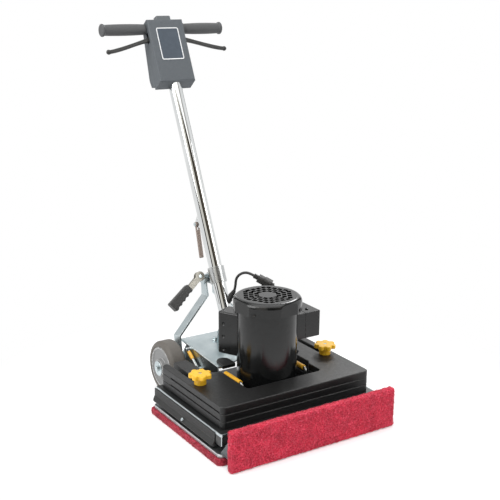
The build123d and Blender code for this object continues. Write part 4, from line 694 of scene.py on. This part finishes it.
# %% [markdown]
# ## The pads
# Both pads are needled nylon: crimped red fibres, resin bonded into a springy felt. The floor pad is
# pressed under the machine, and its felt is a darker copy of the strip's: painted shade for the shadow
# under the machine. Cloth simulation suits a sewn cushion that swells, but this felt is cut from a sheet
# and holds its own shape, so the slab is remeshed, its corners are worn round, and noise pushes tufts and
# hollows into its faces. The floor pad spreads a little under the machine's weight, and the strip stands a
# little proud of its bracket. Geometry Nodes then scatter loose fibres over both, which break up the
# outline as the real ones do.

# %% Needled nylon
CLUMP_MM = 4.2
SHADE_MM = 38
STRAND_SHARE = 0.5
FELT_RELIEF = 2 * MM


def needled(name, deep, mid, light):
    """Red felt: clumps of fibre, darker in the gaps between them as painted shade, and pale strands on top.
    """
    material, tree = blank(name)
    place = add(tree, "ShaderNodeTexCoord").outputs["Object"]
    clump = add(tree, "ShaderNodeTexNoise", Vector=place, Scale=1 / (CLUMP_MM * MM), Detail=3.0,
                Roughness=0.65)
    # The colour ramp runs on the same noise as the bump, so the felt is darkest where its face sinks:
    # mottling of the fibres, and painted shade in the hollows.
    ramp = add(tree, "ShaderNodeValToRGB", Fac=clump.outputs["Fac"])
    ramp.color_ramp.elements[0].position = 0.33
    ramp.color_ramp.elements[0].color = linear(deep)
    ramp.color_ramp.elements[1].position = 0.68
    ramp.color_ramp.elements[1].color = linear(light)
    middle = ramp.color_ramp.elements.new(0.5)
    middle.color = linear(mid)
    cloud = add(tree, "ShaderNodeTexNoise", Vector=place, Scale=1 / (SHADE_MM * MM), Detail=2.0)
    shade = add(tree, "ShaderNodeMapRange", Value=cloud.outputs["Fac"], From_Min=0.3, From_Max=0.7,
                To_Min=0.86, To_Max=1.1).outputs[0]
    strand = add(tree, "ShaderNodeAttribute", {"attribute_name": "strand"}).outputs["Fac"]
    paler = add(tree, "ShaderNodeMath", TIMES, _0=strand, _1=STRAND_SHARE).outputs[0]
    tint = add(tree, "ShaderNodeMix", COLOURS, _0=paler, _6=ramp.outputs["Color"], _7=linear(light))
    lit = add(tree, "ShaderNodeVectorMath", {"operation": "SCALE"}, _0=tint.outputs[2], Scale=shade)
    bump = add(tree, "ShaderNodeBump", Height=clump.outputs["Fac"], Strength=0.7, Distance=FELT_RELIEF)
    body = add(tree, "ShaderNodeBsdfPrincipled", Base_Color=lit.outputs[0], Roughness=0.95,
               Normal=bump.outputs[0], Sheen_Weight=0.15)
    close(tree, body.outputs[0])
    return material


felt = needled("needled_red_nylon", "B0142F", "DC2A48", "F0627A")
# Painted shade: the floor pad's felt is the same felt in darker colours, for the shadow under the machine.
shaded_felt = needled("pressed_red_nylon", "86101F", "AE2238", "CB4F62")
print("felts", felt.name, shaded_felt.name)

# %% Felt slab
TUFT_WIDE, TUFT_MM = 5 * MM, 0.9
KNOT_WIDE, KNOT_SHARE = 11 * MM, 0.6
SWELL_WIDE, SWELL_MM = 60 * MM, 0.5
TUFT_SUNK = 0.2
SWELL_SUNK = 0.5


def felt_slab(node, material, voxel_mm, spread_mm, stand_mm):
    """A CAD slab remeshed, with worn corners and an uneven face, spread sideways or standing higher."""
    shape = merged_copy(node)
    mesh = bpy.data.meshes.new(node + "_felt")
    bmesh.ops.triangulate(shape, faces=shape.faces)
    shape.to_mesh(mesh)
    shape.free()
    piece = new_piece(node + "_felt", mesh)
    remesh = piece.modifiers.new("even_faces", "REMESH")
    remesh.mode = "VOXEL"
    remesh.voxel_size = voxel_mm * MM
    mesh = baked(piece)
    piece.modifiers.remove(remesh)
    piece.data = mesh
    shape = bmesh.new()
    shape.from_mesh(mesh)
    for _ in range(2):
        bmesh.ops.smooth_vert(shape, verts=shape.verts, factor=0.5, use_axis_x=True, use_axis_y=True,
                              use_axis_z=True)
    shape.normal_update()
    moves = []
    low, high = (Vector(corner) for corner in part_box(node))
    middle = (low + high) / 2
    half = (high - low) / 2
    for vert in shape.verts:
        knot = noise.noise(vert.co / KNOT_WIDE + Vector((7, 3, 1)))
        tuft = noise.noise(vert.co / TUFT_WIDE) + KNOT_SHARE * knot
        swell = noise.noise(vert.co / SWELL_WIDE + Vector((1, 9, 4)))
        push = (tuft - TUFT_SUNK) * TUFT_MM + (swell - SWELL_SUNK) * SWELL_MM
        out = vert.co - middle
        grow = Vector((spread_mm * out.x / half.x, spread_mm * out.y / half.y,
                       stand_mm * (vert.co.z - low.z) / (2 * half.z)))
        moves.append(vert.normal * push * MM + grow * MM)
    for vert, move in zip(shape.verts, moves):
        vert.co += move
        vert.co.z = max(vert.co.z, 0.0)
    shape.to_mesh(mesh)
    shape.free()
    mesh.shade_smooth()
    mesh.materials.clear()
    mesh.materials.append(material)
    return piece


# %% Loose fibres
FIBRE_LENGTH = 6.5 * MM
FIBRE_RADIUS = 0.28 * MM
FIBRE_BEND = ((-0.5, 0.0, -0.1), (0.1, 0.25, 0.42), (0.55, -0.1, 0.06))
SHORTEST, LONGEST = 0.55, 1.35
FACING_DOWN = -0.6


def fibre_coat():
    """A tree that scatters bent fibres over every face that doesn't rest on the floor."""
    tree, start, end = node_tree("felt_fibres", {"Density": "Float", "Length": "Float", "Thickness": "Float",
                                                 "Seed": "Int", "Finish": "Material"})
    length = start.outputs["Length"]
    facing = add(tree, "ShaderNodeSeparateXYZ", Vector=add(tree, "GeometryNodeInputNormal").outputs[0])
    upper = add(tree, "FunctionNodeCompare", {"data_type": "FLOAT", "operation": "GREATER_THAN"},
                _0=facing.outputs["Z"], _1=FACING_DOWN)
    spots = add(tree, "GeometryNodeDistributePointsOnFaces", Mesh=start.outputs["Geometry"],
                Selection=upper.outputs[0], Density=start.outputs["Density"], Seed=start.outputs["Seed"])
    bend = [add(tree, "ShaderNodeVectorMath", {"operation": "SCALE"}, _0=place, Scale=length).outputs[0]
            for place in FIBRE_BEND]
    arc = add(tree, "GeometryNodeCurveQuadraticBezier", Resolution=3, Start=bend[0], Middle=bend[1],
              End=bend[2])
    section = add(tree, "GeometryNodeCurvePrimitiveCircle", Resolution=3, Radius=start.outputs["Thickness"])
    fibre = add(tree, "GeometryNodeCurveToMesh", Curve=arc.outputs[0], Profile_Curve=section.outputs[0])
    spin = add(tree, "FunctionNodeRandomValue", {"data_type": "FLOAT"}, _2=0.0, _3=2 * math.pi,
               Seed=start.outputs["Seed"])
    twist = add(tree, "FunctionNodeAxisAngleToRotation", Axis=(0, 0, 1), Angle=spin.outputs[1])
    turn = add(tree, "FunctionNodeRotateRotation", {"rotation_space": "LOCAL"}, _0=spots.outputs["Rotation"],
               _1=twist.outputs[0])
    size = add(tree, "FunctionNodeRandomValue", {"data_type": "FLOAT"}, _2=SHORTEST, _3=LONGEST, Seed=11)
    put = add(tree, "GeometryNodeInstanceOnPoints", Points=spots.outputs["Points"],
              Instance=fibre.outputs[0], Rotation=turn.outputs[0], Scale=size.outputs[1])
    tone = add(tree, "FunctionNodeRandomValue", {"data_type": "FLOAT"}, _2=0.0, _3=1.0, Seed=23)
    named = add(tree, "GeometryNodeStoreNamedAttribute", {"data_type": "FLOAT", "domain": "INSTANCE"},
                Geometry=put.outputs[0], Name="strand", Value=tone.outputs[1])
    solid = add(tree, "GeometryNodeRealizeInstances", Geometry=named.outputs[0])
    dyed = add(tree, "GeometryNodeSetMaterial", Geometry=solid.outputs[0], Material=start.outputs["Finish"])
    both = tree.nodes.new("GeometryNodeJoinGeometry")
    tree.links.new(start.outputs["Geometry"], both.inputs[0])
    tree.links.new(dyed.outputs[0], both.inputs[0])
    tree.links.new(both.outputs[0], end.inputs[0])
    return tree


# %% Both pads
fibres = fibre_coat()
pads = (("strip_pad", felt, 2.4, 110000.0, 5, 0.0, 3.5),
        ("floor_pad", shaded_felt, 3.2, 60000.0, 8, 4.0, 0.0))
for node, material, voxel_mm, density, seed, spread_mm, stand_mm in pads:
    pad = felt_slab(node, material, voxel_mm, spread_mm, stand_mm)
    run_tree(pad, fibres, Density=density, Length=FIBRE_LENGTH, Thickness=FIBRE_RADIUS, Seed=seed,
             Finish=material)
    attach(pad, body_of_node[node])
    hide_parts(node)
    print(node, len(pad.data.polygons), "faces")

# %% [markdown]
# ## Floor and light
# The machine stands on white paper in a white studio. Large soft lamps on both sides and overhead give
# the long highlights on the motor's shoulder. Polished metal shows its surroundings, and a chromed tube
# in an all-white room has no form, so the room has two dark doorways behind the camera and two dark
# curtains opposite: they are drawn in the world's colour for reflections only. The background is white to
# the camera, and the paper keeps the machine's shadow: near the machine it is lit paper, and further off
# it fades into the white background.

# %% Paper floor
FADE_CENTRE = (0, 0.03, 0)
FADE_FROM = 0.42
FADE_TO = 0.85
PAPER_GLOW = 0.22


def mirrored(tree, path):
    """1 for rays that come by way of a reflection or through glass."""
    return add(tree, "ShaderNodeMath", LARGER, _0=path.outputs["Is Glossy Ray"],
               _1=path.outputs["Is Transmission Ray"]).outputs[0]


bpy.ops.mesh.primitive_plane_add(size=60, location=(0, 0, 0))
floor = bpy.context.object
floor.name = "studio_floor"
paper, tree = blank("white_studio_paper")
path = add(tree, "ShaderNodeLightPath")
watched = add(tree, "ShaderNodeMath", LARGER, _0=path.outputs["Is Camera Ray"],
              _1=mirrored(tree, path)).outputs[0]
place = add(tree, "ShaderNodeTexCoord").outputs["Object"]
away = add(tree, "ShaderNodeVectorMath", {"operation": "DISTANCE"}, _0=place, _1=FADE_CENTRE)
fade = add(tree, "ShaderNodeMapRange", {"interpolation_type": "SMOOTHSTEP"}, Value=away.outputs["Value"],
           From_Min=FADE_FROM, From_Max=FADE_TO)
share = add(tree, "ShaderNodeMath", TIMES, _0=fade.outputs[0], _1=watched).outputs[0]
matt = add(tree, "ShaderNodeBsdfDiffuse", Color=(0.9, 0.9, 0.9, 1))
lift = add(tree, "ShaderNodeMath", TIMES, _0=watched, _1=PAPER_GLOW).outputs[0]
glow = add(tree, "ShaderNodeEmission", Color=(1, 1, 1, 1), Strength=lift)
near = add(tree, "ShaderNodeAddShader", _0=matt.outputs[0], _1=glow.outputs[0]).outputs[0]
far = add(tree, "ShaderNodeEmission", Color=(1, 1, 1, 1), Strength=1.0).outputs[0]
close(tree, add(tree, "ShaderNodeMixShader", _0=share, _1=near, _2=far).outputs[0])
floor.data.materials.append(paper)
print("floor fades from", FADE_FROM, "to", FADE_TO, "m")

# %% Studio world
world = bpy.data.worlds.new("studio")
scene.world = world
world.use_nodes = True
tree = world.node_tree
tree.nodes.clear()
direction = add(tree, "ShaderNodeTexCoord").outputs["Generated"]
turned_to = {"operation": "DOT_PRODUCT"}
beside = add(tree, "ShaderNodeVectorMath", turned_to, _0=direction, _1=level).outputs["Value"]
behind = add(tree, "ShaderNodeVectorMath", turned_to, _0=direction, _1=-ahead).outputs["Value"]
along = add(tree, "ShaderNodeMapRange", Value=beside, From_Min=-1.0).outputs[0]
doorway = ((-1.0, "FFFFFF"), (-0.84, "FFFFFF"), (-0.78, "24211D"), (-0.64, "2E2A25"), (-0.56, "F4F1EA"),
           (-0.1, "E6E1D6"), (0.02, "2E2A25"), (0.35, "4A443B"), (0.6, "857C6F"), (0.85, "D8DADB"))
curtains = ((-1.0, "FFFFFF"), (-0.62, "FFFFFF"), (-0.56, "3E3A36"), (-0.46, "3E3A36"), (-0.38, "FFFFFF"),
            (0.38, "FFFFFF"), (0.46, "3E3A36"), (0.56, "3E3A36"), (0.62, "FFFFFF"))


def wall(stops):
    """Colours along a wall of the room, from the camera's left to its right."""
    ramp = add(tree, "ShaderNodeValToRGB", Fac=along)
    ramp.color_ramp.elements[0].position = 0.0
    ramp.color_ramp.elements[1].position = 1.0
    ramp.color_ramp.elements[0].color = linear(stops[0][1])
    ramp.color_ramp.elements[1].color = linear("FFFFFF")
    for place, colour in stops[1:]:
        ramp.color_ramp.elements.new((place + 1) / 2).color = linear(colour)
    return ramp.outputs["Color"]


front = add(tree, "ShaderNodeMapRange", Value=behind, From_Min=0.0, From_Max=0.25).outputs[0]
seen = add(tree, "ShaderNodeMix", COLOURS, _0=front, _6=wall(curtains), _7=wall(doorway))
path = add(tree, "ShaderNodeLightPath")
fill = add(tree, "ShaderNodeBackground", Color=(0.97, 0.985, 1, 1), Strength=0.5)
reflected = add(tree, "ShaderNodeBackground", Color=seen.outputs[2], Strength=1.0)
white = add(tree, "ShaderNodeBackground", Color=(1, 1, 1, 1), Strength=1.0)
inner = add(tree, "ShaderNodeMixShader", _0=mirrored(tree, path), _1=fill.outputs[0],
            _2=reflected.outputs[0])
outer = add(tree, "ShaderNodeMixShader", _0=path.outputs["Is Camera Ray"], _1=inner.outputs[0],
            _2=white.outputs[0])
tree.links.new(outer.outputs[0], add(tree, "ShaderNodeOutputWorld").inputs["Surface"])
print("world with", len(doorway), "and", len(curtains), "stops")

# %% Soft lamps
AIM = Vector((0, 0.1, 0.3))
lamps = (("overhead", (-0.2, -0.4, 3.1), 3.4, 56), ("left_softbox", (-2.4, 0.2, 2.2), 1.7, 44),
         ("right_softbox", (1.9, -2.2, 2.1), 1.0, 18), ("rim_light", (1.9, 1.6, 2.0), 0.7, 16))
for name, place, size, power in lamps:
    light = bpy.data.lights.new(name, "AREA")
    light.size = size
    light.energy = power
    lamp = bpy.data.objects.new(name, light)
    lamp.location = place
    lamp.rotation_euler = (AIM - lamp.location).to_track_quat("-Z", "Y").to_euler()
    scene.collection.objects.link(lamp)
print("lamps", len(lamps))
